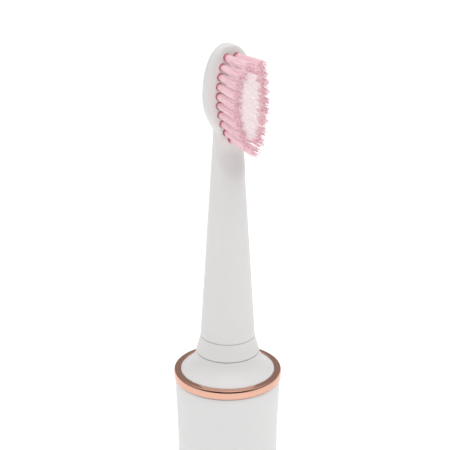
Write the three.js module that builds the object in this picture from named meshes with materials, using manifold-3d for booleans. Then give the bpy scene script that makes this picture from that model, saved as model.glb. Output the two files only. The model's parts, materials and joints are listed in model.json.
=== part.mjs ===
// Sonic toothbrush standing on its induction charger. Units are millimetres, +Z is up, and the origin
// is the centre of the charger's foot, on the surface that it stands on. The bristles and the power
// button face -Y, and the charger's power inlet faces +Y.
//
// Three groups are nested as the real thing comes apart: the charger, the handle that lifts off it, and
// the brush head that pulls off the handle's drive shaft.
import * as THREE from "three";
import { mergeVertices } from "three/addons/utils/BufferGeometryUtils.js";
import Module from "manifold-3d";

const wasm = await Module();
wasm.setup();

// ---- Clearances between neighbouring pieces
const GAP = 0.3; // pieces that pass or rest on each other
const SEAM = 0.15; // pieces pressed or clipped together
const RUN = 0.08; // the shaft in its bearings, radially

// ---- Handle, outside
const HANDLE_LENGTH = 164.7; // bottom face to the rim of the trim ring
const HANDLE_R = 12.6;
const HANDLE_FOOT_R = 12.1; // the handle draws in a little at its base
const FLARE = 0.5; // extra radius just under the trim ring
const FLARE_LENGTH = 20;
const HANDLE_WALL = 1.7;
const TRIM_HEIGHT = 2.05;
const TRIM_WIDTH = 1.65; // radial width of the metal trim ring
const TRIM_PROUD = 0.4; // the ring stands out from the flare by this much
const SHOULDER_RISE = 5.15; // trim rim to the flat that the brush head sits over
const SHOULDER_R = 7.95;
const SPIGOT_DEPTH = 12; // how far the shoulder cap reaches down into the handle
const SPIGOT_WALL = 1.5;

// ---- Drive shaft and its seal
const SHAFT_R = 1.75;
const SHAFT_PROUD = 25.5; // above the trim rim
const SHAFT_FLAT = 0.5; // depth of the D flat
const SHAFT_FLAT_LENGTH = 16;
const SEAL_R = 4.5;
const SEAL_FLANGE_R = 6;
const SEAL_FLANGE = 1;

// ---- Motor
const MOTOR_R = 7;
const MOTOR_LENGTH = 48;
const MOTOR_WALL = 0.5;
const MOTOR_END = 1; // thickness of the can's closed end and of the end cap
const MOTOR_BELOW_SPIGOT = 2;
const BEARING_R = 3.2;
const BEARING_LENGTH = 3;
const ROTOR_R = 4.2;
const ROTOR_LENGTH = 20;
const COIL_WIDTH = 1.5;
const SPRING_THICKNESS = 0.4;

// ---- Battery, a cylindrical cell of standard size
const CELL_R = 7;
const CELL_LENGTH = 65;
const CELL_NUB_R = 2.75;
const CELL_NUB = 1;
const TAB = 0.3;

// ---- Circuit board, its switch and lights
const BOARD_THICKNESS = 1.2;
const SWITCH_SIZE = 5.2;
const SWITCH_HEIGHT = 1.2;
const PLUNGER_R = 1;
const PLUNGER_HEIGHT = 0.5;
const PLUNGER_WELL = 0.9; // depth of the switch's well, which the plunger sinks into
const LED_SIZE = 1.4;
const LED_HEIGHT = 0.7;
const BUTTON_BELOW_RIM = 52;
const BUTTON_R = 5.4;
const BUTTON_PROUD = 0.35;
const BUTTON_THICKNESS = 1.3;
const BUTTON_TRAVEL = 0.4;
const STEM_R = 1.2;
const LIGHTS = 4;
const LIGHT_PITCH = 4.6;
const LIGHT_BELOW_BUTTON = 26;
const LENS_R = 0.85;

// ---- Chassis inside the handle
const CHASSIS_WALL = 1.4;
const RIB = 2;
const BULKHEAD = 4;
const SCREW_R = 0.75;
const SCREW_HEAD_R = 1.6;
const SCREW_HEAD = 0.9;
const SCREW_LENGTH = 5;

// ---- Charging post, the recess that fits it, and the coils
const POST_HALF_LENGTH = 5;
const POST_HALF_WIDTH = 3.5;
const POST_HEIGHT = 11;
const POST_WALL = 1.2;
const POST_CLEARANCE = 0.4;
const RECESS_WALL = 1.1;
const RECEIVER_WIDTH = 2.4;
const RECEIVER_HEIGHT = 5;
const FERRITE_R = 1.8;
const TRANSMIT_R = 8.5;
const TRANSMIT_HEIGHT = 5;

// ---- Bottom cap of the handle
const CAP_FLANGE = 2.4;
const CAP_PLUG = 4.5;
const CAP_SEAL_R = 0.5; // radius of the ring's own round section
const CAP_SEAL_BITE = 0.15; // what its groove leaves round it

// ---- Charger
const CHARGER_R = 29;
const CHARGER_DRAFT = 0.8; // the side wall leans in by this much
const CHARGER_SIDE = 9; // top of the side wall
const CHARGER_CROWN = 13.6; // top of the rounded shoulder
const CHARGER_WALL = 1.8;
const SEAT_Z = 15; // flat that the handle stands on
const SEAT_R = 13.6;
const BASE_THICKNESS = 2;
const BASE_RAISED = 0.9; // underside of the base above the surface
const FOOT_INNER_R = 20;
const FOOT_OUTER_R = 25.6;
const FOOT_SUNK = 0.7;
const CHARGER_BOARD_LENGTH = 34;
const CHARGER_BOARD_WIDTH = 18;
const BOARD_POST = 1.6; // height of the base's pads under the board
const BOSS_R = 2.5;
const BOSS_CIRCLE_R = 16.5;
const CHARGER_SCREWS = 3;

// ---- Power inlet in the back of the charger
const INLET_HALF_WIDTH = 4.45;
const INLET_HALF_HEIGHT = 1.6;
const INLET_DEPTH = 7.4;
const INLET_WALL = 0.3;
const TONGUE_WIDTH = 6.6;
const TONGUE_HEIGHT = 0.7;
const INLET_SET_BACK = 0.6; // its mouth behind the charger's outer wall

// ---- Brush head. Heights are above the trim rim.
const HEAD_GAP = 0.2; // between the handle's shoulder and the brush head
const COLLAR_HEIGHT = 4.1;
const COLLAR_R = 7.85;
const NECK_BASE_R = 6.75;
const NECK_TOP_R = 3.46;
const NECK_TOP = 62; // where the taper ends
const SEAM_CHAMFER = 0.15;
const SOCKET_R = 4.6;
const COUPLING_LENGTH = 15.5;
const COUPLING_TOP = 1; // material over the blind bore
const HEAD_TIP = 82.8;
const HEAD_CENTRE = 70.6; // height of the widest place
const HEAD_HALF_WIDTH = 6.45;
const HEAD_LOWER_REACH = 11.7; // the outline's parabola would come to a point this far below
const FACE_Y = 1.8; // the bristle face stands this far in front of the axis
const BACK_Y = 2.5;
const FACE_RAMP_START = 50.3; // the neck's front slopes back to the face between these heights
const FACE_RAMP_END = 58.5;

// ---- Bristle field
const HOLE_R = 0.9;
const HOLE_DEPTH = 2.3;
const TUFT_R = 0.74;
const TUFT_TIP_R = 0.86;
const TUFT_LENGTH = 9.5; // out of the face, at the middle of the head
const TUFT_END_RISE = 2.2; // the tufts at both ends are longer by this much
const FIELD_HALF_WIDTH = 3.3;
const FIELD_UPPER_REACH = 10.3;
const FIELD_LOWER_REACH = 11;
const FIELD_HEEL = 10.2; // the single tuft nearest the neck, below the head's centre
const SPLAY = 0.03; // how far the outer tufts lean sideways, for each unit of their length
const FIELD_PITCH = 2.24;
const INNER_X = 1.1;
const INNER_ROWS = 5;
const INNER_PITCH = 2.2;
const WEB = 0.5;

// ---- Segments round a circle
const ROUND = 32;
const ROUND_SMALL = 20;
const ROUND_TINY = 8;

// ---- Sizes that follow from those
const BORE_R = HANDLE_R - HANDLE_WALL;
const INSIDE_R = BORE_R - GAP; // what slides into the handle
const FLARE_R = HANDLE_R + FLARE;
const TRIM_R = FLARE_R + TRIM_PROUD;
const TRIM_INNER_R = TRIM_R - TRIM_WIDTH;
const HANDLE_TOP = HANDLE_LENGTH - TRIM_HEIGHT; // the housing ends under the trim ring
const MOTOR_TOP = HANDLE_LENGTH - SPIGOT_DEPTH - MOTOR_BELOW_SPIGOT;
const MOTOR_BOTTOM = MOTOR_TOP - MOTOR_LENGTH;
const RECESS_DEPTH = POST_HEIGHT + POST_CLEARANCE;
const RECESS_TOP = RECESS_DEPTH + RECESS_WALL;
const CHASSIS_BOTTOM = RECESS_TOP + 2;
const CELL_BOTTOM = CHASSIS_BOTTOM + BULKHEAD + TAB + 2 * SEAM;
const CELL_TOP = CELL_BOTTOM + CELL_LENGTH;
const BOARD_BACK = Math.max(MOTOR_R, CELL_R) + GAP; // distance in front of the axis
const BOARD_FRONT = BOARD_BACK + BOARD_THICKNESS;
const BOARD_HALF_WIDTH = Math.sqrt(INSIDE_R ** 2 - BOARD_FRONT ** 2) - SEAM;
const BOARD_BOTTOM = CHASSIS_BOTTOM + 1;
const BOARD_TOP = MOTOR_TOP - 4;
const BUTTON_Z = HANDLE_LENGTH - BUTTON_BELOW_RIM;
const SWITCH_FRONT = BOARD_FRONT + SWITCH_HEIGHT;
const PLUNGER_FRONT = SWITCH_FRONT + PLUNGER_HEIGHT;
const UPPER_SCREW_Z = MOTOR_BOTTOM - BULKHEAD / 2 - 4;
const LOWER_SCREW_Z = CHASSIS_BOTTOM + BULKHEAD / 2;
const CAP_SEAL_Z = CAP_FLANGE + CAP_PLUG / 2;
const BASE_TOP = BASE_RAISED + BASE_THICKNESS;
const COVER_INNER_R = CHARGER_R - CHARGER_WALL;
const CHARGER_BOARD_Z = BASE_TOP + BOARD_POST;
const CHARGER_BOARD_TOP = CHARGER_BOARD_Z + BOARD_THICKNESS;
const SEAT_UNDER = SEAT_Z - CHARGER_WALL;
const INLET_Z = CHARGER_BOARD_TOP + SEAM + INLET_HALF_HEIGHT;
const COLLAR_BOTTOM = SHOULDER_RISE + HEAD_GAP;
const NECK_BOTTOM = COLLAR_BOTTOM + COLLAR_HEIGHT + SEAM;
const COUPLING_BOTTOM = SHAFT_PROUD + GAP + COUPLING_TOP - COUPLING_LENGTH;

// ---- Materials
const finish = (color, roughness, metalness) => new THREE.MeshStandardMaterial({ color, roughness, metalness });
const FINISH = {
  whiteShell: finish(0xf1f0ee, 0.38, 0),
  neckPlastic: finish(0xf3f1ee, 0.42, 0),
  roseGold: finish(0xe0a488, 0.16, 1),
  pinkBristle: finish(0xf0a6b6, 0.45, 0),
  whiteBristle: finish(0xf4f0f0, 0.45, 0),
  steel: finish(0xb9bcc0, 0.28, 1),
  darkPlastic: finish(0x33363a, 0.6, 0),
  board: finish(0x1f5a3a, 0.5, 0),
  copper: finish(0xb4673a, 0.35, 1),
  ferrite: finish(0x3a3a3c, 0.7, 0),
  silicone: finish(0xd9d6d3, 0.6, 0),
  lens: finish(0xf6f4f0, 0.3, 0),
  cell: finish(0x4f7fae, 0.4, 0),
  rubber: finish(0xcfccc9, 0.75, 0),
};

// ---- Solids: three.js makes each shape, manifold-3d joins and cuts it

/** A closed three.js geometry as a solid, with its faces turned to point out. */
function solid(geometry) {
  const bare = new THREE.BufferGeometry().setAttribute("position", geometry.getAttribute("position"));
  bare.setIndex(geometry.index);
  const merged = mergeVertices(bare, 1e-4);
  const corners = merged.index.array;
  const triangles = [];
  for (let i = 0; i < corners.length; i += 3) {
    const [a, b, c] = [corners[i], corners[i + 1], corners[i + 2]];
    if (a !== b && b !== c && a !== c) triangles.push(a, b, c);
  }
  const made = (order) =>
    new wasm.Manifold(
      new wasm.Mesh({
        numProp: 3,
        vertProperties: new Float32Array(merged.attributes.position.array),
        triVerts: new Uint32Array(order),
      }),
    );
  const first = made(triangles);
  return first.volume() > 0 ? first : made(triangles.reverse());
}

/** A manifold-3d solid as a three.js geometry. */
function geometryOf(body) {
  const mesh = body.getMesh();
  const geometry = new THREE.BufferGeometry();
  geometry.setAttribute("position", new THREE.BufferAttribute(new Float32Array(mesh.vertProperties), 3));
  geometry.setIndex(new THREE.BufferAttribute(new Uint32Array(mesh.triVerts), 1));
  geometry.computeVertexNormals();
  return geometry;
}

const join = (...bodies) => bodies.reduce((all, body) => all.add(body));
const cut = (body, ...tools) => tools.reduce((left, tool) => left.subtract(tool), body);

/** A solid turned about Z from a closed outline of [radius, height] points. */
function turned(outline, segments = ROUND) {
  const points = [...outline, outline[0]].map(([r, z]) => new THREE.Vector2(r, z));
  return solid(new THREE.LatheGeometry(points, segments).rotateX(Math.PI / 2));
}

/** A ring or, with no inner radius, a disc between two heights. */
const ring = (inner, outer, low, high, segments = ROUND) =>
  turned(
    [
      [inner, low],
      [outer, low],
      [outer, high],
      [inner, high],
    ],
    segments,
  );
const disc = (radius, low, high, segments = ROUND) => ring(0, radius, low, high, segments);

/** A box between two corners. */
function block([x0, y0, z0], [x1, y1, z1]) {
  const box = new THREE.BoxGeometry(x1 - x0, y1 - y0, z1 - z0);
  return solid(box.translate((x0 + x1) / 2, (y0 + y1) / 2, (z0 + z1) / 2));
}

/** A round bar along Y, from y0 to y1, whose radius may change from one end to the other. */
function bar(x, z, y0, y1, r0, r1 = r0, segments = ROUND_TINY) {
  const cylinder = new THREE.CylinderGeometry(r1, r0, y1 - y0, segments);
  return solid(cylinder.translate(x, (y0 + y1) / 2, z));
}

/** A shape drawn in X and Y, pushed up from one height to another. */
const prism = (shape, low, high, curveSegments = 8) =>
  solid(
    new THREE.ExtrudeGeometry(shape, { depth: high - low, bevelEnabled: false, curveSegments }).translate(0, 0, low),
  );

/** The outline of a slot with round ends, its long side along X. */
function slot(halfLength, halfWidth) {
  const straight = halfLength - halfWidth;
  const shape = new THREE.Shape();
  shape.moveTo(-straight, -halfWidth);
  shape.lineTo(straight, -halfWidth);
  shape.absarc(straight, 0, halfWidth, -Math.PI / 2, Math.PI / 2);
  shape.lineTo(-straight, halfWidth);
  shape.absarc(-straight, 0, halfWidth, Math.PI / 2, (3 * Math.PI) / 2);
  return shape;
}

/** A slot pushed along Y instead of Z: a flat socket's outline at height z. */
function slotAlongY(halfWidth, halfHeight, z, y0, y1) {
  const geometry = new THREE.ExtrudeGeometry(slot(halfWidth, halfHeight), {
    depth: y1 - y0,
    bevelEnabled: false,
    curveSegments: 5,
  });
  return solid(geometry.rotateX(Math.PI / 2).translate(0, y1, z));
}

/** A thin lead through a few points. */
function lead(points, radius) {
  const section = new THREE.Shape().absarc(0, 0, radius, 0, 2 * Math.PI);
  const path = new THREE.CatmullRomCurve3(points.map((p) => new THREE.Vector3(...p)));
  const options = { extrudePath: path, steps: 8, curveSegments: 3, bevelEnabled: false };
  return solid(new THREE.ExtrudeGeometry(section, options));
}

/** A named mesh of a solid, added to a group at a height. */
function place(group, name, body, material, height = 0) {
  const mesh = new THREE.Mesh(geometryOf(body), material);
  mesh.name = name;
  mesh.position.z = height;
  group.add(mesh);
  return mesh;
}

const smoothstep = (low, high, value) => {
  const t = Math.min(1, Math.max(0, (value - low) / (high - low)));
  return t * t * (3 - 2 * t);
};
const mix = (a, b, t) => a + (b - a) * t;

// ======================================================================= Brush head

/** Radius of the round, tapering neck at a height. */
const neckRadius = (h) =>
  mix(NECK_BASE_R, NECK_TOP_R, Math.min(1, (h - NECK_BOTTOM) / (NECK_TOP - NECK_BOTTOM)));

/** Half width of the head's outline: an ellipse above its widest place, a parabola below. */
function headHalfWidth(h) {
  const up = h - HEAD_CENTRE;
  if (up > 0) return HEAD_HALF_WIDTH * Math.max(0, 1 - (up / (HEAD_TIP - HEAD_CENTRE)) ** 2.15) ** (1 / 2.15);
  return HEAD_HALF_WIDTH * (1 - (up / HEAD_LOWER_REACH) ** 2);
}

/** One level section of the neck and head: half width, depth to the front and back, and roundness. */
function headSection(h) {
  const neck = neckRadius(h);
  const wide = headHalfWidth(h);
  const fillet = 0.5; // rounds the corner where the neck meets the head
  const flat = smoothstep(FACE_RAMP_START, FACE_RAMP_END, h);
  const thin = smoothstep(FACE_RAMP_START, HEAD_CENTRE, h);
  const tip = (1 - Math.max(0, (h - HEAD_CENTRE) / (HEAD_TIP - HEAD_CENTRE)) ** 6) ** (1 / 6);
  return {
    half: h > HEAD_CENTRE ? wide : (neck + wide + Math.hypot(neck - wide, fillet)) / 2 - fillet ** 2 / 20,
    front: mix(neck, FACE_Y, flat) * tip,
    back: mix(neck, BACK_Y, thin) * tip,
    frontPower: mix(2, 4.5, flat),
    backPower: mix(2, 2.5, thin),
  };
}

/** Heights of the sections, closer together where the head curves over its tip. */
function sectionHeights() {
  const heights = [NECK_BOTTOM + SEAM_CHAMFER, 30, FACE_RAMP_START];
  heights.push(52.5, 55, 57, 59, 60.5, 62, 63.5, 65, 67, 69);
  const arc = 9;
  for (let i = 0; i < arc; i++) {
    heights.push(HEAD_CENTRE + (HEAD_TIP - HEAD_CENTRE) * Math.sin((Math.PI / 2) * (i / arc)));
  }
  return heights;
}

/** The neck and head as a skin over level sections, closed by a flat base and a point at the tip. */
function neckAndHead() {
  const sides = sectionHeights().map((h) => ({ h, shrink: 0 }));
  const rows = [{ h: NECK_BOTTOM, shrink: SEAM_CHAMFER }, ...sides];
  const positions = [];
  for (const { h, shrink } of rows) {
    const { half, front, back, frontPower, backPower } = headSection(h);
    for (let i = 0; i < ROUND; i++) {
      const angle = (2 * Math.PI * i) / ROUND;
      const [c, s] = [Math.cos(angle), Math.sin(angle)];
      const [depth, power] = s < 0 ? [front, frontPower] : [back, backPower];
      const x = (half - shrink) * Math.sign(c) * Math.abs(c) ** (2 / power);
      const y = (depth - shrink) * Math.sign(s) * Math.abs(s) ** (2 / power);
      positions.push(x, y, h);
    }
  }
  const base = positions.length / 3;
  positions.push(0, 0, NECK_BOTTOM, 0, 0, HEAD_TIP);
  const index = [];
  const last = (rows.length - 1) * ROUND;
  for (let i = 0; i < ROUND; i++) {
    const next = (i + 1) % ROUND;
    index.push(base, next, i, base + 1, last + i, last + next);
    for (let row = 0; row < last; row += ROUND) {
      index.push(row + i, row + next, row + ROUND + next, row + i, row + ROUND + next, row + ROUND + i);
    }
  }
  const geometry = new THREE.BufferGeometry();
  geometry.setAttribute("position", new THREE.Float32BufferAttribute(positions, 3));
  return solid(geometry.setIndex(index));
}

/** How far a tuft at this height stands out of the face: longer towards both ends of the head. */
function tuftLength(h) {
  const reach = h > HEAD_CENTRE ? FIELD_UPPER_REACH : FIELD_LOWER_REACH;
  return TUFT_LENGTH + TUFT_END_RISE * Math.abs((h - HEAD_CENTRE) / reach) ** 3;
}

/** Half width of the ring of outer tufts at a height above or below the head's centre. */
const fieldHalfWidth = (up) =>
  up > 0
    ? FIELD_HALF_WIDTH * Math.sqrt(Math.max(0, 1 - (up / FIELD_UPPER_REACH) ** 2))
    : FIELD_HALF_WIDTH * (1 - (up / FIELD_LOWER_REACH) ** 2);

/** Places of the outer tufts, in order round the ring: up one side, down the other, and one at the heel. */
function outerTufts() {
  const side = [];
  for (let row = 0; row < 9; row++) {
    const up = 9.5 - row * FIELD_PITCH + Math.max(0, row - 7) * 0.12;
    side.push([fieldHalfWidth(up), HEAD_CENTRE + up]);
  }
  return [...side, [0, HEAD_CENTRE - FIELD_HEEL], ...side.map(([x, h]) => [-x, h]).reverse()];
}

/** Places of the inner tufts: two columns, and one more at each end. */
function innerTufts() {
  const places = [];
  for (let row = 0; row < INNER_ROWS; row++) {
    const h = HEAD_CENTRE + (row - (INNER_ROWS - 1) / 2) * INNER_PITCH;
    places.push([-INNER_X, h], [INNER_X, h]);
  }
  const end = ((INNER_ROWS - 1) / 2) * INNER_PITCH + 2;
  return [...places, [0, HEAD_CENTRE + end], [0, HEAD_CENTRE - end]];
}

/** One tuft, from the bottom of its hole to its trimmed end, leaning sideways if it is given a splay. */
function tuft([x, h], splay = 0) {
  const [tip, root] = [-FACE_Y - tuftLength(h), -FACE_Y + HOLE_DEPTH - GAP];
  const geometry = new THREE.CylinderGeometry(TUFT_R, TUFT_TIP_R, root - tip, ROUND_TINY, 2);
  geometry.translate(0, (root + tip) / 2, 0);
  const points = geometry.getAttribute("position");
  const lean = splay * Math.sign(x);
  for (let i = 0; i < points.count; i++) {
    const out = Math.max(0, -FACE_Y - points.getY(i));
    points.setX(i, points.getX(i) + x + lean * out);
    points.setZ(i, points.getZ(i) + h);
  }
  return solid(geometry);
}

/** A thin strip that joins two neighbouring tufts just off the face, so that a colour is one solid. */
function web([x0, h0], [x1, h1]) {
  const length = Math.hypot(x1 - x0, h1 - h0);
  const box = new THREE.BoxGeometry(length, WEB, WEB).rotateY(-Math.atan2(h1 - h0, x1 - x0));
  return solid(box.translate((x0 + x1) / 2, -FACE_Y - GAP - WEB / 2, (h0 + h1) / 2));
}

function headShell() {
  const holes = [...outerTufts(), ...innerTufts()].map(([x, h]) =>
    bar(x, h, -FACE_Y - 2, -FACE_Y + HOLE_DEPTH, HOLE_R, HOLE_R, ROUND_TINY),
  );
  const socket = disc(SOCKET_R, NECK_BOTTOM - 1, COUPLING_BOTTOM + COUPLING_LENGTH + SEAM, ROUND_SMALL);
  return cut(neckAndHead(), socket, ...holes);
}

/** The conical collar at the foot of the brush head. */
function headCollar() {
  const top = COLLAR_BOTTOM + COLLAR_HEIGHT;
  return turned([
    [SEAL_R + GAP + SEAM, COLLAR_BOTTOM],
    [COLLAR_R - SEAM_CHAMFER, COLLAR_BOTTOM],
    [COLLAR_R, COLLAR_BOTTOM + SEAM_CHAMFER],
    [mix(COLLAR_R, NECK_BASE_R, 0.47), mix(COLLAR_BOTTOM, top, 0.45)],
    [NECK_BASE_R + 0.05, top - SEAM_CHAMFER],
    [NECK_BASE_R - SEAM_CHAMFER, top],
    [SEAL_R + GAP + SEAM, top],
  ]);
}

/** The outline of a D: a circle with a flat towards -Y. */
function dShape(radius, flat) {
  const half = Math.acos((radius - flat) / radius);
  return new THREE.Shape().absarc(0, 0, radius, -Math.PI / 2 + half, (3 * Math.PI) / 2 - half);
}

/** The insert in the neck that grips the drive shaft by its D flat. */
function shaftCoupling() {
  const top = COUPLING_BOTTOM + COUPLING_LENGTH;
  const bore = prism(dShape(SHAFT_R + SEAM, SHAFT_FLAT), COUPLING_BOTTOM - 1, top - COUPLING_TOP, 10);
  return cut(disc(SOCKET_R - SEAM, COUPLING_BOTTOM, top, ROUND_SMALL), bore);
}

function outerBristles() {
  const places = outerTufts();
  const webs = places.map((place, i) => web(place, places[(i + 1) % places.length]));
  return join(...places.map((place) => tuft(place, SPLAY)), ...webs);
}

function innerBristles() {
  const places = innerTufts();
  const [top, bottom] = places.slice(-2);
  const pairs = places.slice(0, -2);
  const webs = [web(bottom, top)];
  for (let i = 0; i < pairs.length; i += 2) webs.push(web(pairs[i], pairs[i + 1]));
  return join(...places.map((place) => tuft(place)), ...webs);
}

function brushHead() {
  const group = new THREE.Group();
  place(group, "brush_head_shell", headShell(), FINISH.neckPlastic);
  place(group, "head_collar_ring", headCollar(), FINISH.neckPlastic);
  place(group, "shaft_coupling", shaftCoupling(), FINISH.darkPlastic);
  place(group, "outer_bristles", outerBristles(), FINISH.pinkBristle);
  place(group, "inner_bristles", innerBristles(), FINISH.whiteBristle);
  return group;
}

// ======================================================================= Handle, outside

/** Outer radius of the handle at a height above its bottom face. */
function handleRadius(z) {
  const foot = smoothstep(0, 30, z);
  const flare = smoothstep(HANDLE_TOP - FLARE_LENGTH, HANDLE_TOP, z) ** 1.4;
  return mix(HANDLE_FOOT_R, HANDLE_R, foot) + FLARE * flare;
}

function handleHousing() {
  const bottom = CAP_FLANGE + SEAM;
  const flare = [FLARE_LENGTH, 12, 7, 3, 0].map((below) => HANDLE_TOP - below);
  const heights = [bottom, 10, 20, 30, ...flare];
  const outside = heights.map((z) => [handleRadius(z), z]);
  const tube = turned([[BORE_R, bottom], ...outside, [BORE_R, HANDLE_TOP]]);
  const reach = HANDLE_R + FLARE;
  const buttonHole = bar(0, BUTTON_Z, -reach - 2, -BOARD_FRONT, BUTTON_R + GAP, BUTTON_R + GAP, 24);
  const lensHole = LENS_R + SEAM;
  const lensHoles = lightHeights().map((z) => bar(0, z, -reach - 2, -BOARD_FRONT, lensHole, lensHole, 10));
  return cut(tube, buttonHole, ...lensHoles);
}

/** The metal ring round the top of the handle: its side bends in above, and its top rises inwards. */
function trimRing() {
  const low = HANDLE_TOP + SEAM;
  const crown = 0.4; // its inner edge stands a little higher than its rim
  return turned([
    [TRIM_INNER_R, low],
    [TRIM_R - 0.3, low],
    [TRIM_R - 0.05, low + 0.3],
    [TRIM_R, low + 0.8],
    [TRIM_R, HANDLE_LENGTH - 0.45],
    [TRIM_R - 0.05, HANDLE_LENGTH - 0.1],
    [TRIM_R - 0.25, HANDLE_LENGTH + crown * 0.65],
    [TRIM_INNER_R + 0.15, HANDLE_LENGTH + crown],
    [TRIM_INNER_R, HANDLE_LENGTH + crown - 0.1],
  ]);
}

/** The white shoulder: a trumpet curve from the trim ring up to the flat under the brush head. */
function shoulderCap() {
  const edge = TRIM_INNER_R - SEAM;
  const top = HANDLE_LENGTH + SHOULDER_RISE;
  const edgeZ = HANDLE_LENGTH + 0.3;
  const steps = 6;
  const curve = [];
  for (let i = 0; i <= steps; i++) {
    const angle = (Math.PI / 2) * (i / steps);
    const fall = mix(Math.cos(angle) ** 0.9, 1 - Math.sin(angle), 0.5); // half way to a straight cone
    curve.push([edge - (edge - SHOULDER_R) * Math.sin(angle), top - (top - edgeZ) * fall]);
  }
  const spigotR = INSIDE_R;
  const spigotInner = spigotR - SPIGOT_WALL;
  const ledge = HANDLE_TOP + SEAM;
  const flangeRoom = SEAL_FLANGE_R + SEAM;
  const under = HANDLE_LENGTH + SEAL_FLANGE + 0.2;
  return turned([
    [edge, ledge],
    ...curve,
    [SEAL_R + SEAM, top],
    [SEAL_R + SEAM, under],
    [flangeRoom, under],
    [flangeRoom, HANDLE_LENGTH - 2],
    [spigotInner, HANDLE_LENGTH - 4],
    [spigotInner, HANDLE_LENGTH - SPIGOT_DEPTH],
    [spigotR, HANDLE_LENGTH - SPIGOT_DEPTH],
    [spigotR, ledge],
  ]);
}

/** The soft seal round the shaft, held by its flange under the shoulder. */
function shaftSeal() {
  const bore = SHAFT_R + SEAM;
  const flangeTop = HANDLE_LENGTH + SEAL_FLANGE + 0.2 - SEAM;
  const top = HANDLE_LENGTH + SHOULDER_RISE + 1.2;
  return turned(
    [
      [bore, flangeTop - SEAL_FLANGE],
      [SEAL_FLANGE_R, flangeTop - SEAL_FLANGE],
      [SEAL_FLANGE_R, flangeTop],
      [SEAL_R, flangeTop],
      [SEAL_R, top - 0.9],
      [SEAL_R - 0.9, top - 0.3],
      [SHAFT_R + 1, top],
      [bore, top],
    ],
    ROUND_SMALL,
  );
}

/** The ring that clamps the seal's flange from below. */
function sealRetainer() {
  const top = HANDLE_LENGTH + 0.2 - 2 * SEAM;
  return ring(SHAFT_R + 2 * GAP, SEAL_FLANGE_R - GAP, top - 1.8, top, ROUND_SMALL);
}

/** The handle's bottom cap, with the blind recess that drops over the charging post. */
function bottomCap() {
  const plugR = INSIDE_R;
  const plugTop = CAP_FLANGE + CAP_PLUG;
  const grooveR = BORE_R - 2 * CAP_SEAL_R - CAP_SEAL_BITE;
  const half = CAP_SEAL_R + CAP_SEAL_BITE;
  const footR = handleRadius(0);
  const plug = turned([
    [0, 0],
    [footR - 1.4, 0],
    [footR - 0.4, 0.4],
    [footR, 1.4],
    [footR, CAP_FLANGE],
    [plugR, CAP_FLANGE],
    [plugR, CAP_SEAL_Z - half],
    [grooveR, CAP_SEAL_Z - half],
    [grooveR, CAP_SEAL_Z + half],
    [plugR, CAP_SEAL_Z + half],
    [plugR, plugTop],
    [0, plugTop],
  ]);
  const recess = slot(POST_HALF_LENGTH + POST_CLEARANCE, POST_HALF_WIDTH + POST_CLEARANCE);
  const tube = slot(
    POST_HALF_LENGTH + POST_CLEARANCE + RECESS_WALL,
    POST_HALF_WIDTH + POST_CLEARANCE + RECESS_WALL,
  );
  return cut(join(plug, prism(tube, 1, RECESS_TOP)), prism(recess, -1, RECESS_DEPTH));
}

/** The round-section sealing ring in the cap's groove. */
function capSeal() {
  const middle = BORE_R - CAP_SEAL_R - CAP_SEAL_BITE / 2;
  const outline = [];
  for (let i = 0; i < ROUND_TINY; i++) {
    const angle = (2 * Math.PI * (i + 0.5)) / ROUND_TINY;
    outline.push([middle + CAP_SEAL_R * Math.cos(angle), CAP_SEAL_Z + CAP_SEAL_R * Math.sin(angle)]);
  }
  return turned(outline, 24);
}

/** Heights of the mode lights, below the button. */
function lightHeights() {
  return Array.from({ length: LIGHTS }, (_, i) => BUTTON_Z - LIGHT_BELOW_BUTTON - i * LIGHT_PITCH);
}

/** A small clear pin that carries one light out through the housing. */
const modeLens = (z) =>
  bar(0, z, -HANDLE_R, -BOARD_FRONT - LED_HEIGHT - GAP, LENS_R, LENS_R, 10);

/** The round power button: a cap whose face follows the handle, and a stem over the switch. */
function powerButton() {
  const face = HANDLE_R + BUTTON_PROUD;
  const back = face - BUTTON_THICKNESS - 0.6;
  const rod = bar(0, BUTTON_Z, -face - 1, -back, BUTTON_R, BUTTON_R, 24);
  const skin = disc(face, BUTTON_Z - BUTTON_R - 1, BUTTON_Z + BUTTON_R + 1, 64);
  const stem = bar(0, BUTTON_Z, -back - 0.5, -PLUNGER_FRONT - GAP, STEM_R, STEM_R, 12);
  return join(rod.intersect(skin), stem);
}

// ======================================================================= Handle, inside

/** The trough that carries the motor and the cell, with ribs round them and two bulkheads. */
function chassis() {
  const top = MOTOR_TOP - GAP;
  const inner = INSIDE_R - CHASSIS_WALL;
  const nest = (radius, z) => ring(radius + GAP, inner + 0.2, z, z + RIB, 24);
  const wall = ring(inner, INSIDE_R, CHASSIS_BOTTOM, top, 24);
  const cellMiddle = (CELL_BOTTOM + CELL_TOP) / 2;
  const cellRibs = [CELL_BOTTOM + 4, cellMiddle + 12, CELL_TOP - 6].map((z) => nest(CELL_R, z));
  const motorRibs = [MOTOR_BOTTOM + 4, MOTOR_TOP - 10].map((z) => nest(MOTOR_R, z));
  const screws = [LOWER_SCREW_Z, UPPER_SCREW_Z];
  const bulkheads = screws.map((z) => disc(inner + 0.2, z - BULKHEAD / 2, z + BULKHEAD / 2, 24));
  const front = block([-HANDLE_R, -HANDLE_R, 0], [HANDLE_R, -BOARD_BACK + GAP, HANDLE_LENGTH]);
  const screwHoles = screws.map((z) => bar(0, z, -HANDLE_R, 0, SCREW_R + SEAM));
  return cut(join(wall, ...cellRibs, ...motorRibs, ...bulkheads), front, ...screwHoles);
}

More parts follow.
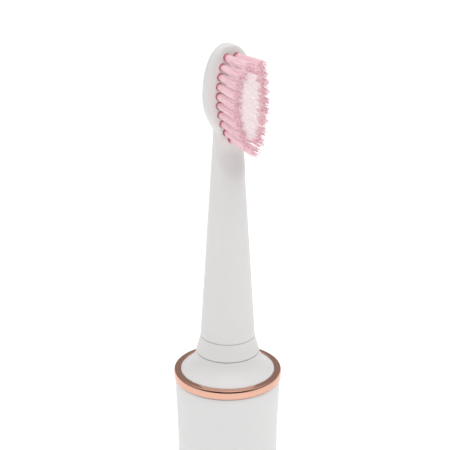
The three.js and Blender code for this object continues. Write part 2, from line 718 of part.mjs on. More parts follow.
/** The circuit board, flat against the chassis, with a hole for each screw. */
function circuitBoard() {
  const plate = block(
    [-BOARD_HALF_WIDTH, -BOARD_FRONT, BOARD_BOTTOM],
    [BOARD_HALF_WIDTH, -BOARD_BACK, BOARD_TOP],
  );
  const holes = [LOWER_SCREW_Z, UPPER_SCREW_Z].map((z) =>
    bar(0, z, -BOARD_FRONT - 1, -BOARD_BACK + 1, SCREW_R + GAP),
  );
  return cut(plate, ...holes);
}

/** A square component on the board's front face. */
const component = (size, height, z) =>
  block([-size / 2, -BOARD_FRONT - height, z - size / 2], [size / 2, -BOARD_FRONT - 0.02, z + size / 2]);

/** The switch's body, with the round well that its plunger sinks into. */
const switchBody = () =>
  cut(
    component(SWITCH_SIZE, SWITCH_HEIGHT, BUTTON_Z),
    bar(0, BUTTON_Z, -SWITCH_FRONT - 1, -SWITCH_FRONT + PLUNGER_WELL, PLUNGER_R + SEAM, PLUNGER_R + SEAM, 12),
  );

/** The plunger, which stands out of the well by the travel that the button needs. */
function switchPlunger() {
  const root = -SWITCH_FRONT + PLUNGER_WELL - BUTTON_TRAVEL - SEAM / 2;
  return bar(0, BUTTON_Z, -PLUNGER_FRONT, root, PLUNGER_R, PLUNGER_R, 12);
}

/** A screw through the board into a bulkhead. */
const boardScrew = (z) =>
  join(
    bar(0, z, -BOARD_FRONT - SCREW_HEAD, -BOARD_FRONT - 0.05, SCREW_HEAD_R, SCREW_HEAD_R, 12),
    bar(0, z, -BOARD_FRONT - SCREW_HEAD / 2, -BOARD_FRONT + SCREW_LENGTH, SCREW_R),
  );

function motorCan() {
  const bore = BEARING_R + SEAM;
  const top = MOTOR_LENGTH - MOTOR_END - SEAM;
  return turned(
    [
      [bore, 0],
      [MOTOR_R, 0],
      [MOTOR_R, top],
      [MOTOR_R - MOTOR_WALL, top],
      [MOTOR_R - MOTOR_WALL, MOTOR_END],
      [bore, MOTOR_END],
    ],
    24,
  );
}

function motorEndCap() {
  const low = MOTOR_LENGTH - MOTOR_END;
  const spigotR = MOTOR_R - MOTOR_WALL - SEAM;
  return turned(
    [
      [BEARING_R + SEAM, low - 1.2],
      [spigotR, low - 1.2],
      [spigotR, low],
      [MOTOR_R, low],
      [MOTOR_R, MOTOR_LENGTH],
      [BEARING_R + SEAM, MOTOR_LENGTH],
    ],
    24,
  );
}

const bearing = (low) => ring(SHAFT_R + RUN, BEARING_R, low, low + BEARING_LENGTH, ROUND_SMALL);

/** The shaft: round in the motor, with a D flat where the brush head grips it. */
function driveShaft() {
  const bottom = MOTOR_BOTTOM + 0.2;
  const top = HANDLE_LENGTH + SHAFT_PROUD;
  const rod = turned(
    [
      [0, bottom],
      [SHAFT_R, bottom],
      [SHAFT_R, top - 0.5],
      [SHAFT_R - 0.5, top],
      [0, top],
    ],
    ROUND_SMALL,
  );
  const flat = block(
    [-SHAFT_R - 1, -SHAFT_R - 1, top - SHAFT_FLAT_LENGTH],
    [SHAFT_R + 1, -SHAFT_R + SHAFT_FLAT, top + 1],
  );
  return cut(rod, flat);
}

function motor() {
  const group = new THREE.Group();
  group.position.z = MOTOR_BOTTOM;
  const middle = MOTOR_LENGTH / 2 + 1;
  const coilOuter = MOTOR_R - MOTOR_WALL - SEAM;
  const coilHalf = ROTOR_LENGTH / 2 + 1;
  place(group, "motor_can", motorCan(), FINISH.steel);
  place(group, "motor_end_cap", motorEndCap(), FINISH.darkPlastic);
  place(group, "lower_bearing", bearing(-0.6), FINISH.copper);
  place(group, "upper_bearing", bearing(MOTOR_LENGTH - BEARING_LENGTH + 0.6), FINISH.copper);
  const coil = ring(coilOuter - COIL_WIDTH, coilOuter, middle - coilHalf, middle + coilHalf, 24);
  place(group, "stator_coil", coil, FINISH.copper);
  const springLow = BEARING_LENGTH + 1;
  const spring = ring(SHAFT_R + GAP, coilOuter, springLow, springLow + SPRING_THICKNESS, 24);
  place(group, "centring_spring", spring, FINISH.steel);
  const magnet = ring(SHAFT_R + SEAM, ROTOR_R, middle - ROTOR_LENGTH / 2, middle + ROTOR_LENGTH / 2, 24);
  place(group, "rotor_magnet", magnet, FINISH.ferrite);
  const damperLow = MOTOR_LENGTH - 6.5;
  const damper = ring(MOTOR_R + SEAM, INSIDE_R - CHASSIS_WALL - SEAM, damperLow, damperLow + 3, 24);
  const room = block([-HANDLE_R, -HANDLE_R, 0], [HANDLE_R, -BOARD_BACK + GAP, MOTOR_LENGTH]);
  place(group, "motor_damper", cut(damper, room), FINISH.rubber);
  for (const [side, x] of [["left", -2.4], ["right", 2.4]]) {
    const end = -BOARD_BACK + GAP;
    const route = [[x, -4.6, -0.3], [x, -5, -1.4], [x, end + 0.6, -2.2], [x, end, -2.6]];
    place(group, `motor_lead_${side}`, lead(route, 0.35), FINISH.cell);
  }
  return group;
}

/** The round cell, with its raised terminal at the top. */
const cell = () =>
  turned([
    [0, CELL_BOTTOM],
    [CELL_R - 0.3, CELL_BOTTOM],
    [CELL_R, CELL_BOTTOM + 0.3],
    [CELL_R, CELL_TOP - CELL_NUB - 0.3],
    [CELL_R - 0.3, CELL_TOP - CELL_NUB],
    [CELL_NUB_R, CELL_TOP - CELL_NUB],
    [CELL_NUB_R, CELL_TOP],
    [0, CELL_TOP],
  ]);

/** A flat nickel tab from one end of the cell to the board. */
const cellTab = (low) => block([-2.5, -BOARD_BACK + SEAM, low], [2.5, 3, low + TAB]);

/** A curved foam pad between the cell and the back of the chassis. */
function cellPad() {
  const [inner, outer] = [CELL_R + SEAM, INSIDE_R - CHASSIS_WALL - SEAM];
  const shape = new THREE.Shape();
  shape.absarc(0, 0, outer, Math.PI / 3, (2 * Math.PI) / 3);
  shape.absarc(0, 0, inner, (2 * Math.PI) / 3, Math.PI / 3, true);
  return prism(shape, CELL_BOTTOM + 8, CELL_BOTTOM + 26, 6);
}

/** The receiving coil round the recess tube. */
function receiverCoil() {
  const inner = POST_HALF_LENGTH + POST_CLEARANCE + RECESS_WALL + GAP;
  const low = CAP_FLANGE + CAP_PLUG + GAP;
  return ring(inner, Math.min(inner + RECEIVER_WIDTH, INSIDE_R), low, low + RECEIVER_HEIGHT, 24);
}

function handleParts() {
  const group = new THREE.Group();
  group.position.z = SEAT_Z + GAP;
  place(group, "handle_housing", handleHousing(), FINISH.whiteShell);
  place(group, "shoulder_cap", shoulderCap(), FINISH.whiteShell);
  place(group, "trim_ring", trimRing(), FINISH.roseGold);
  place(group, "shaft_seal", shaftSeal(), FINISH.silicone);
  place(group, "seal_retainer", sealRetainer(), FINISH.darkPlastic);
  place(group, "bottom_cap", bottomCap(), FINISH.whiteShell);
  place(group, "bottom_cap_seal", capSeal(), FINISH.silicone);
  place(group, "power_button", powerButton(), FINISH.whiteShell);
  place(group, "chassis", chassis(), FINISH.darkPlastic);
  place(group, "circuit_board", circuitBoard(), FINISH.board);
  place(group, "tact_switch", switchBody(), FINISH.darkPlastic);
  place(group, "switch_plunger", switchPlunger(), FINISH.silicone);
  place(group, "controller_chip", component(4.5, 0.9, CELL_TOP - 26), FINISH.ferrite);
  lightHeights().forEach((z, i) => {
    place(group, `mode_lens_${i + 1}`, modeLens(z), FINISH.lens);
    place(group, `mode_led_${i + 1}`, component(LED_SIZE, LED_HEIGHT, z), FINISH.lens);
  });
  place(group, "board_screw_upper", boardScrew(UPPER_SCREW_Z), FINISH.steel);
  place(group, "board_screw_lower", boardScrew(LOWER_SCREW_Z), FINISH.steel);
  place(group, "battery_cell", cell(), FINISH.cell);
  place(group, "battery_tab_lower", cellTab(CELL_BOTTOM - TAB - SEAM), FINISH.steel);
  place(group, "battery_tab_upper", cellTab(CELL_TOP + SEAM), FINISH.steel);
  place(group, "battery_pad", cellPad(), FINISH.ferrite);
  place(group, "receiver_coil", receiverCoil(), FINISH.copper);
  const coilTop = CAP_FLANGE + CAP_PLUG + GAP + RECEIVER_HEIGHT;
  const leadY = -POST_HALF_LENGTH - POST_CLEARANCE - RECESS_WALL - 1;
  const boardY = -BOARD_BACK - 0.6;
  for (const [side, x] of [["left", -3.4], ["right", 3.4]]) {
    const route = [[x, leadY, coilTop + 0.2], [x, leadY, coilTop + 1.2]];
    route.push([x, boardY, BOARD_BOTTOM - 1], [x, boardY, BOARD_BOTTOM - 0.2]);
    place(group, `coil_lead_${side}`, lead(route, 0.35), FINISH.copper);
  }
  place(group, "drive_shaft", driveShaft(), FINISH.steel);
  group.add(motor());
  return group;
}

// ======================================================================= Charger

/** The cover: a low round body, the seat for the handle, and the hollow post in its middle. */
function chargerCover() {
  const topR = CHARGER_R - CHARGER_DRAFT;
  const crownR = SEAT_R + 8;
  const outside = [
    [CHARGER_R - 0.4, BASE_RAISED],
    [CHARGER_R, BASE_RAISED + 0.6],
    [topR, CHARGER_SIDE],
    [topR - 0.7, CHARGER_SIDE + 2],
    [topR - 2.4, CHARGER_SIDE + 3.6],
    [crownR, CHARGER_CROWN],
    [SEAT_R + 1.6, SEAT_Z + 0.7],
    [SEAT_R + 0.6, SEAT_Z + 0.7],
    [SEAT_R, SEAT_Z],
  ];
  const ceiling = [
    [SEAT_R, SEAT_UNDER],
    [crownR - 1, SEAT_UNDER - 1.6],
    [COVER_INNER_R - 2.4, CHARGER_SIDE + 1.4],
    [COVER_INNER_R - CHARGER_DRAFT, CHARGER_SIDE - 1],
    [COVER_INNER_R, BASE_RAISED],
  ];
  const body = turned([...outside, [0, SEAT_Z], [0, SEAT_UNDER], ...ceiling]);
  const postTop = SEAT_Z + POST_HEIGHT;
  const post = new THREE.ExtrudeGeometry(slot(POST_HALF_LENGTH - 0.6, POST_HALF_WIDTH - 0.6), {
    depth: POST_HEIGHT - 0.6,
    bevelThickness: 0.6,
    bevelSize: 0.6,
    bevelSegments: 2,
    curveSegments: 8,
  }).translate(0, 0, SEAT_Z);
  const bore = slot(POST_HALF_LENGTH - POST_WALL, POST_HALF_WIDTH - POST_WALL);
  const hollow = prism(bore, SEAT_UNDER - 1, postTop - POST_WALL);
  const bosses = screwPlaces().map(([x, y]) =>
    disc(BOSS_R, CHARGER_BOARD_Z, SEAT_UNDER - 0.5, 12).translate([x, y, 0]),
  );
  const bossHoles = screwPlaces().map(([x, y]) =>
    disc(SCREW_R + SEAM, 0, SEAT_UNDER - 2, ROUND_TINY).translate([x, y, 0]),
  );
  const window = slotAlongY(INLET_HALF_WIDTH + GAP, INLET_HALF_HEIGHT + GAP, INLET_Z, CHARGER_R - 8, CHARGER_R + 1);
  return cut(join(body, solid(post), ...bosses), hollow, window, ...bossHoles);
}

/** Where the charger's screws stand: evenly round a circle, clear of the inlet. */
function screwPlaces() {
  return Array.from({ length: CHARGER_SCREWS }, (_, i) => {
    const angle = -Math.PI / 2 + (2 * Math.PI * i) / CHARGER_SCREWS;
    return [BOSS_CIRCLE_R * Math.cos(angle), BOSS_CIRCLE_R * Math.sin(angle)];
  });
}

/** The base plate, with a groove for the foot ring, pads for the board and sunk screw holes. */
function chargerBase() {
  const groove = FOOT_SUNK + BASE_RAISED;
  const plate = turned([
    [0, BASE_RAISED],
    [FOOT_INNER_R - SEAM, BASE_RAISED],
    [FOOT_INNER_R - SEAM, groove],
    [FOOT_OUTER_R + SEAM, groove],
    [FOOT_OUTER_R + SEAM, BASE_RAISED],
    [COVER_INNER_R - GAP, BASE_RAISED],
    [COVER_INNER_R - GAP, BASE_TOP],
    [0, BASE_TOP],
  ]);
  const padX = CHARGER_BOARD_WIDTH / 2 - 1.5;
  const pads = [-padX, padX].map((x) =>
    block([x - 1.2, -7, BASE_TOP - 0.2], [x + 1.2, 9, CHARGER_BOARD_Z - SEAM]),
  );
  const holes = screwPlaces().flatMap(([x, y]) => [
    disc(SCREW_R + GAP, 0, BASE_TOP + 1, 12).translate([x, y, 0]),
    disc(SCREW_HEAD_R + GAP, 0, BASE_RAISED + SCREW_HEAD + SEAM, 12).translate([x, y, 0]),
  ]);
  return cut(join(plate, ...pads), ...holes);
}

/** A screw up through the base into one of the cover's bosses. */
function chargerScrew() {
  const low = BASE_RAISED + SEAM;
  return join(
    disc(SCREW_HEAD_R, low, low + SCREW_HEAD - SEAM, 12),
    disc(SCREW_R, low + SCREW_HEAD / 2, low + SCREW_HEAD + SCREW_LENGTH, ROUND_TINY),
  );
}

/** The charger's board, notched round the front screw boss. */
function chargerBoard() {
  const back = COVER_INNER_R - GAP - 3;
  const half = CHARGER_BOARD_WIDTH / 2;
  const front = Math.max(back - CHARGER_BOARD_LENGTH, -BOSS_CIRCLE_R + BOSS_R + GAP);
  const bosses = screwPlaces().map(([x, y]) => disc(BOSS_R + GAP, 0, SEAT_Z, 12).translate([x, y, 0]));
  return cut(block([-half, front, CHARGER_BOARD_Z], [half, back, CHARGER_BOARD_TOP]), ...bosses);
}

/** The flat power inlet: a metal shell open towards +Y, with a tongue in its mouth. */
function inletSocket() {
  const mouth = CHARGER_R - CHARGER_DRAFT - INLET_SET_BACK;
  const back = mouth - INLET_DEPTH;
  const shell = slotAlongY(INLET_HALF_WIDTH, INLET_HALF_HEIGHT, INLET_Z, back, mouth);
  const [halfWidth, halfHeight] = [INLET_HALF_WIDTH - INLET_WALL, INLET_HALF_HEIGHT - INLET_WALL];
  const inside = slotAlongY(halfWidth, halfHeight, INLET_Z, back + 1.5, mouth + 1);
  const tongue = block(
    [-TONGUE_WIDTH / 2, back + 1, INLET_Z - TONGUE_HEIGHT / 2],
    [TONGUE_WIDTH / 2, mouth - 0.8, INLET_Z + TONGUE_HEIGHT / 2],
  );
  return join(cut(shell, inside), tongue);
}

function charger() {
  const group = new THREE.Group();
  place(group, "charger_cover", chargerCover(), FINISH.whiteShell);
  place(group, "charger_base", chargerBase(), FINISH.whiteShell);
  const footTop = BASE_RAISED + FOOT_SUNK - SEAM;
  place(group, "charger_foot", ring(FOOT_INNER_R, FOOT_OUTER_R, 0, footTop), FINISH.rubber);
  const coreBottom = CHARGER_BOARD_TOP + GAP;
  const core = disc(FERRITE_R, coreBottom, SEAT_Z + POST_HEIGHT - POST_WALL - GAP, ROUND_SMALL);
  place(group, "ferrite_core", core, FINISH.ferrite);
  const coilTop = SEAT_UNDER - GAP;
  const coil = ring(FERRITE_R + GAP, TRANSMIT_R, coilTop - TRANSMIT_HEIGHT, coilTop, 24);
  place(group, "transmit_coil", coil, FINISH.copper);
  place(group, "charger_board", chargerBoard(), FINISH.board);
  place(group, "inlet_socket", inletSocket(), FINISH.steel);
  screwPlaces().forEach(([x, y], i) => {
    const screw = place(group, `charger_screw_${i + 1}`, chargerScrew(), FINISH.steel);
    screw.position.set(x, y, 0);
  });
  return group;
}

// ======================================================================= The whole object
const toothbrush = new THREE.Group();
const handle = handleParts();
const head = brushHead();
head.position.z = HANDLE_LENGTH;
handle.add(head);
toothbrush.add(charger(), handle);

export default toothbrush;
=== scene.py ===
# %% [markdown]
# # A sonic toothbrush on its charger
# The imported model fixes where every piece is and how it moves. This notebook gives each piece that
# can be seen its smooth surface and its finish, then sets up the light and the camera. Every length
# below is in millimetres, and a mesh becomes metres only when it is handed to Blender.

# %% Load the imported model
import json

import bmesh
import bpy
import numpy as np
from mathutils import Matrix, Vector, geometry


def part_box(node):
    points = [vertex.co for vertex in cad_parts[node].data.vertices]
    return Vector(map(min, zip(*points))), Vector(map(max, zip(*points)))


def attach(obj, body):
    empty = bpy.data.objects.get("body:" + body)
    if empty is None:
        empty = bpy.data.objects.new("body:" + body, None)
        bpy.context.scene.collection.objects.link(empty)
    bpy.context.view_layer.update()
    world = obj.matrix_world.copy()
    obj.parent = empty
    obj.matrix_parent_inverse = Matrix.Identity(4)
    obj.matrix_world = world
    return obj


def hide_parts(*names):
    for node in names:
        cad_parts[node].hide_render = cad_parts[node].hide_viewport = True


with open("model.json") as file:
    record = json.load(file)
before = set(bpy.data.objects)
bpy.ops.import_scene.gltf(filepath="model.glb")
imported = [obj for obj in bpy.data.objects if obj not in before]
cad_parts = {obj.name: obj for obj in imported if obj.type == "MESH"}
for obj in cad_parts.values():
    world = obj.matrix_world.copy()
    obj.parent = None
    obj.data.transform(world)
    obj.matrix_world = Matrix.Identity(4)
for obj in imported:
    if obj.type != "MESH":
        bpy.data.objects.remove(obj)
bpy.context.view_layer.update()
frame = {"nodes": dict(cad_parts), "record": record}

MM = 0.001


# %% [markdown]
# The rim of the metal ring is the height that everything on the brush is measured from, because the
# ring is the one edge that both the handle and the head are lined up with. The charger's seat does
# the same job for the charger. Both come out of the model's own boxes.

# %% Heights that the rest is measured from
def span(node, axis=2):
    """Where a node of the model starts and ends along an axis, in millimetres. Axis 2 is Z."""
    low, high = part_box(node)
    return low[axis] / MM, high[axis] / MM


RING_CROWN = 0.4  # the ring's inner edge stands this much above its rim
RIM = span("trim_ring")[1] - RING_CROWN
HANDLE_FOOT = span("bottom_cap")[0]
POST_TOP = span("charger_cover")[1]
POST_HEIGHT = 11.0
SEAT = POST_TOP - POST_HEIGHT
print(f"rim at {RIM:.2f}, foot of the handle at {HANDLE_FOOT:.2f}, seat at {SEAT:.2f}")


# %% [markdown]
# ## The camera and the light
# The brush is looked at from a little above and from its left, close enough for the perspective to
# show: the camera stands about 0.33 m from the ring, with a long lens. The camera comes before any
# piece, so that each can be judged in its own view.

# %% Camera
CAMERA_AZIMUTH = np.radians(-28.5)
CAMERA_PITCH = np.radians(20.5)
CAMERA_DISTANCE = 293.7  # level distance from the brush's axis
CAMERA_ABOVE_RIM = 148.2
CAMERA_ASIDE = -0.66  # the axis stands this far right of the middle of the view
LENS = 104.0

level = np.array([np.sin(CAMERA_AZIMUTH), -np.cos(CAMERA_AZIMUTH), 0])
across = np.array([np.cos(CAMERA_AZIMUTH), np.sin(CAMERA_AZIMUTH), 0])
place = level * CAMERA_DISTANCE + across * CAMERA_ASIDE + np.array([0, 0, RIM + CAMERA_ABOVE_RIM])
backward = level * np.cos(CAMERA_PITCH) + np.array([0, 0, np.sin(CAMERA_PITCH)])
camera = bpy.data.objects.new("camera", bpy.data.cameras.new("camera"))
camera.data.lens = LENS
camera.data.clip_start = 0.01
camera.location = Vector(place * MM)
camera.rotation_euler = Vector(-backward).to_track_quat("-Z", "Y").to_euler()
bpy.context.scene.collection.objects.link(camera)
bpy.context.scene.camera = camera
print("camera at", np.round(place, 1))


# %% [markdown]
# A white object on white needs its light to come from everywhere, but not evenly. A light tent is
# bright overhead, and the table glows a little, as the translucent top of a lit table does. Round
# the sides the tent is dim, and it is nearly dark where it is open towards the camera. The polished
# ring shows the dim sides as a brown band and the opening as a thin dark line, and the satin
# plastic shows them as a grey middle between paler edges. The sky is a ramp over the height of each
# direction, mixed with a ramp over its bearing.

# %% Helpers for shader trees
def put(tree, node, inputs):
    """Sets inputs of a node. Each is a plain value, a colour without alpha, or another node's
    output."""
    for label, value in inputs.items():
        socket = node.inputs[label]
        if isinstance(value, bpy.types.NodeSocket):
            tree.links.new(value, socket)
        else:
            socket.default_value = (*value, 1) if socket.type == "RGBA" else value


def add(tree, kind, inputs=None, **settings):
    """A new shader node of a kind."""
    node = tree.nodes.new("ShaderNode" + kind)
    for label, value in settings.items():
        setattr(node, label, value)
    put(tree, node, inputs or {})
    return node


def ramp(tree, value, stops):
    """A colour that follows a value through (place, colour) stops."""
    node = add(tree, "ValToRGB", {"Fac": value})
    elements = node.color_ramp.elements
    while len(elements) > 1:
        elements.remove(elements[-1])
    (elements[0].position, first), *others = stops
    elements[0].color = (*first, 1)
    for where, colour in others:
        elements.new(where).color = (*colour, 1)
    return node.outputs["Color"]


def blended(tree, factor, first, second, **settings):
    """A colour between two, by a factor."""
    node = add(tree, "Mix", {"Factor": factor}, data_type="RGBA", **settings)
    put(tree, node, {6: first, 7: second})  # inputs 6 and 7 and output 2 are the colours
    return node.outputs[2]


def grey(value):
    """A neutral colour."""
    return (value, value, value)


print("helpers for shader trees are ready")

# %% Light tent and table
TOP_LIGHT, SIDE_LIGHT, OPENING_LIGHT = 1.40, (0.36, 0.34, 0.33), (0.055, 0.05, 0.048)
TABLE_GLOW = 0.42


def light_tent():
    """The sky: sides mix to the dark opening over the cosine to the camera's bearing, then to the
    bright top over the sine of a direction's height. Seen directly, behind the brush, it is a plain
    white backdrop."""
    world = bpy.data.worlds.new("light_tent")
    world.use_nodes = True
    tree = world.node_tree
    tree.nodes.clear()
    direction = add(tree, "TexCoord").outputs["Generated"]
    height = add(tree, "SeparateXYZ", {"Vector": direction}).outputs["Z"]
    cosine = add(tree, "VectorMath", {0: direction, 1: tuple(level)}, operation="DOT_PRODUCT")
    low = ramp(tree, cosine.outputs["Value"], [(0.0, SIDE_LIGHT), (0.4, SIDE_LIGHT), (0.85, OPENING_LIGHT)])
    high = ramp(tree, height, [(0.0, grey(0)), (0.58, grey(0)), (0.8, grey(1))])
    both = blended(tree, high, low, grey(TOP_LIGHT))
    direct = add(tree, "LightPath").outputs["Is Camera Ray"]
    sky = add(tree, "Background", {"Color": blended(tree, direct, both, grey(1))})
    add(tree, "OutputWorld", {"Surface": sky.outputs["Background"]})
    bpy.context.scene.world = world


def table():
    """A pale, faintly glowing table top under the charger."""
    material = bpy.data.materials.new("pale_table")
    material.use_nodes = True
    put(material.node_tree, material.node_tree.nodes["Principled BSDF"], {
        "Base Color": grey(0.85), "Roughness": 0.6,
        "Emission Color": grey(1), "Emission Strength": TABLE_GLOW,
    })
    half = 6.0  # metres
    mesh = bpy.data.meshes.new("table")
    corners = [(-half, -half, 0), (half, -half, 0), (half, half, 0), (-half, half, 0)]
    mesh.from_pydata(corners, [], [(0, 1, 2, 3)])
    mesh.materials.append(material)
    top = bpy.data.objects.new("table", mesh)
    bpy.context.scene.collection.objects.link(top)


def soft_box(name, location, size, power):
    """A square lamp that looks at the middle of the brush."""
    lamp = bpy.data.lights.new(name, "AREA")
    lamp.size, lamp.energy = size, power
    holder = bpy.data.objects.new(name, lamp)
    holder.location = location
    aim = Vector((0, 0, RIM * MM)) - Vector(location)
    holder.rotation_euler = aim.to_track_quat("-Z", "Y").to_euler()
    bpy.context.scene.collection.objects.link(holder)


light_tent()
table()
soft_box("front_fill", (-0.15, -0.5, 1.05), 0.6, 1.6)
bpy.context.scene.view_settings.view_transform = "Standard"
print("light tent, table and one soft box")


# %% [markdown]
# ## Effects that finishes share
# Moulded plastic copies the fine sparked texture of its mould and flows a little unevenly, so its
# colour drifts by a percent or two. Handling leaves faint patches that change only the gloss.
# Turned and drawn metal has fine lines, and a coil shows its turns. Each of these is a group of
# nodes that is built once and placed in every finish that needs it.

# %% Helpers for groups
def new_group(name, inputs, outputs):
    """An empty shader group with named sockets, and its input and output nodes."""
    group = bpy.data.node_groups.new(name, "ShaderNodeTree")
    for label, value in inputs.items():
        kind = "NodeSocketVector" if value is None else "NodeSocketFloat"
        socket = group.interface.new_socket(name=label, in_out="INPUT", socket_type=kind)
        if value is not None:
            socket.default_value = value
    for label in outputs:
        group.interface.new_socket(name=label, in_out="OUTPUT", socket_type="NodeSocketFloat")
    return group, group.nodes.new("NodeGroupInput").outputs, group.nodes.new("NodeGroupOutput").inputs


def math(tree, operation, first, second=0.0):
    """The result of one sum on two values."""
    return add(tree, "Math", {0: first, 1: second}, operation=operation).outputs["Value"]


def between(tree, value, low, high, new_low, new_high):
    """A value moved from one range to another, and kept inside it."""
    sockets = {"Value": value, "From Min": low, "From Max": high, "To Min": new_low, "To Max": new_high}
    return add(tree, "MapRange", sockets).outputs["Result"]


print("helpers for groups are ready")

# %% Shader groups
def moulded_grain():
    """Fine noise for the sparked texture, and slow noise for the drift of the colour."""
    group, given, out = new_group(
        "moulded_grain", {"Place": None, "Grain per mm": 6.0, "Drift": 0.02}, ["Height", "Shade"]
    )
    fine = add(group, "TexNoise", {"Vector": given["Place"], "Scale": given["Grain per mm"], "Detail": 2.0})
    slow = add(group, "TexNoise", {"Vector": given["Place"], "Scale": 0.05, "Detail": 2.0})
    drift = between(group, slow.outputs["Fac"], 0.3, 0.7, -1.0, 1.0)
    shade = math(group, "ADD", math(group, "MULTIPLY", drift, given["Drift"]), 1.0)
    group.links.new(fine.outputs["Fac"], out["Height"])
    group.links.new(shade, out["Shade"])
    return group


def handling_marks():
    """Cloudy patches, a few millimetres across, that add to the roughness."""
    group, given, out = new_group("handling_marks", {"Place": None, "Amount": 0.06}, ["Roughness"])
    cloud = {"Vector": given["Place"], "Scale": 0.16, "Detail": 5.0, "Roughness": 0.65}
    marks = between(group, add(group, "TexNoise", cloud).outputs["Fac"], 0.35, 0.75, -0.5, 1.0)
    group.links.new(math(group, "MULTIPLY", marks, given["Amount"]), out["Roughness"])
    return group


def turned_lines():
    """Lines round the Z axis: noise that changes quickly with height and hardly at all round the
    piece."""
    group, given, out = new_group("turned_lines", {"Place": None, "Lines per mm": 9.0}, ["Height"])
    part = add(group, "SeparateXYZ", {"Vector": given["Place"]}).outputs
    tall = math(group, "MULTIPLY", part["Z"], given["Lines per mm"])
    stretched = add(group, "CombineXYZ", {"X": part["X"], "Y": part["Y"], "Z": tall}).outputs["Vector"]
    lines = add(group, "TexNoise", {"Vector": stretched, "Scale": 0.35, "Detail": 3.0})
    group.links.new(lines.outputs["Fac"], out["Height"])
    return group


def wound_turns():
    """The turns of a coil: a rounded ridge for each turn, and a mask of the gap between two, which the
    coil's finish fills with painted shade.
    """
    group, given, out = new_group("wound_turns", {"Place": None, "Turns per mm": 3.0}, ["Height", "Gap"])
    height = add(group, "SeparateXYZ", {"Vector": given["Place"]}).outputs["Z"]
    turn = math(group, "FRACT", math(group, "MULTIPLY", height, given["Turns per mm"]))
    ridge = math(group, "SINE", math(group, "MULTIPLY", turn, np.pi))
    group.links.new(ridge, out["Height"])
    group.links.new(between(group, ridge, 0.0, 0.35, 1.0, 0.0), out["Gap"])
    return group


def board_tracks():
    """The tracks of a circuit board: the borders between irregular cells."""
    group, given, out = new_group("board_tracks", {"Place": None, "Tracks per mm": 0.7}, ["Track"])
    part = add(group, "SeparateXYZ", {"Vector": given["Place"]}).outputs
    flat = add(group, "CombineXYZ", {"X": part["X"], "Y": part["Z"], "Z": part["Y"]}).outputs["Vector"]
    cells = {"Vector": flat, "Scale": given["Tracks per mm"], "Randomness": 0.7}
    edge = add(group, "TexVoronoi", cells, feature="DISTANCE_TO_EDGE").outputs["Distance"]
    group.links.new(between(group, edge, 0.04, 0.06, 1.0, 0.0), out["Track"])
    return group


GROUPS = {made.name: made for made in (
    moulded_grain(), handling_marks(), turned_lines(), wound_turns(), board_tracks(),
)}
print("shader groups:", ", ".join(GROUPS))


# %% [markdown]
# ## Finishes
# Every finish below is a Principled shader. What changes over the surface comes from the shared
# groups, laid out on each piece's own Object coordinates, which are turned into millimetres first.
# What is the same all over, such as a lacquer's strength, is set on the shader itself.

# %% Parts that finishes share
def new_material(name):
    """A material with its tree, its Principled shader and the place of each point in millimetres."""
    material = bpy.data.materials.new(name)
    material.use_nodes = True
    tree = material.node_tree
    here = add(tree, "TexCoord").outputs["Object"]
    in_mm = add(tree, "Mapping", {"Vector": here, "Scale": (1 / MM,) * 3}).outputs["Vector"]
    return material, tree, tree.nodes["Principled BSDF"], in_mm


def use(tree, group_name, **inputs):
    """One of the shared groups, placed in a tree. An underscore in an input's name stands for a
    space."""
    node = tree.nodes.new("ShaderNodeGroup")
    node.node_tree = GROUPS[group_name]
    put(tree, node, {label.replace("_", " "): value for label, value in inputs.items()})
    return node.outputs


def worn(tree, place, colour, roughness, grain, drift, marks):
    """The colour with its drift, the roughness with its patches, and the height of the grain."""
    texture = use(tree, "moulded_grain", Place=place, Grain_per_mm=grain, Drift=drift)
    patches = use(tree, "handling_marks", Place=place, Amount=marks)["Roughness"]
    drifted = blended(tree, 1.0, colour, texture["Shade"], blend_type="MULTIPLY")
    return drifted, math(tree, "ADD", patches, roughness), texture["Height"]


def bump(tree, height, depth):
    """The normal of a surface with a height on it. The depth is in millimetres."""
    return add(tree, "Bump", {"Height": height, "Strength": 1.0, "Distance": depth * MM}).outputs["Normal"]


print("parts of finishes are ready")

# %% Kinds of finish
def moulded(name, colour, roughness, grain=6.0, depth=0.003, drift=0.02, marks=0.05, **sockets):
    """A moulded finish: its colour drifts, its gloss is patchy, and its grain is a shallow bump."""
    material, tree, shader, place = new_material(name)
    drifted, patchy, height = worn(tree, place, colour, roughness, grain, drift, marks)
    put(tree, shader, {"Base Color": drifted, "Roughness": patchy, "Normal": bump(tree, height, depth)})
    put(tree, shader, {label.replace("_", " "): value for label, value in sockets.items()})
    return material


def metal(name, colour, roughness, lines=9.0, depth=0.001, marks=0.04, drift=0.02):
    """A turned or drawn metal: fine lines round the piece, and a gloss that varies a little."""
    material, tree, shader, place = new_material(name)
    drifted, patchy, _ = worn(tree, place, colour, roughness, 2.0, drift, marks)
    height = use(tree, "turned_lines", Place=place, Lines_per_mm=lines)["Height"]
    put(tree, shader, {
        "Base Color": drifted, "Roughness": patchy, "Metallic": 1.0, "Normal": bump(tree, height, depth),
    })
    return material


def coil_wire(name, colour, shaded_gap_colour, turns):
    """Enamelled wire in close turns, with painted shade in the gaps between them."""
    material, tree, shader, place = new_material(name)
    wire = use(tree, "wound_turns", Place=place, Turns_per_mm=turns)
    put(tree, shader, {
        # the darker gap colour is painted shade between the turns
        "Base Color": blended(tree, wire["Gap"], colour, shaded_gap_colour),
        "Roughness": between(tree, wire["Gap"], 0.0, 1.0, 0.28, 0.6),
        "Metallic": 1.0, "Coat Weight": 0.6, "Normal": bump(tree, wire["Height"], 0.08),
    })
    return material


def laminate(name, colour, track_colour):
    """A circuit board: green mask over raised tracks."""
    material, tree, shader, place = new_material(name)
    track = use(tree, "board_tracks", Place=place)["Track"]
    put(tree, shader, {
        "Base Color": blended(tree, track, colour, track_colour),
        "Roughness": between(tree, track, 0.0, 1.0, 0.42, 0.3), "Normal": bump(tree, track, 0.03),
    })
    return material


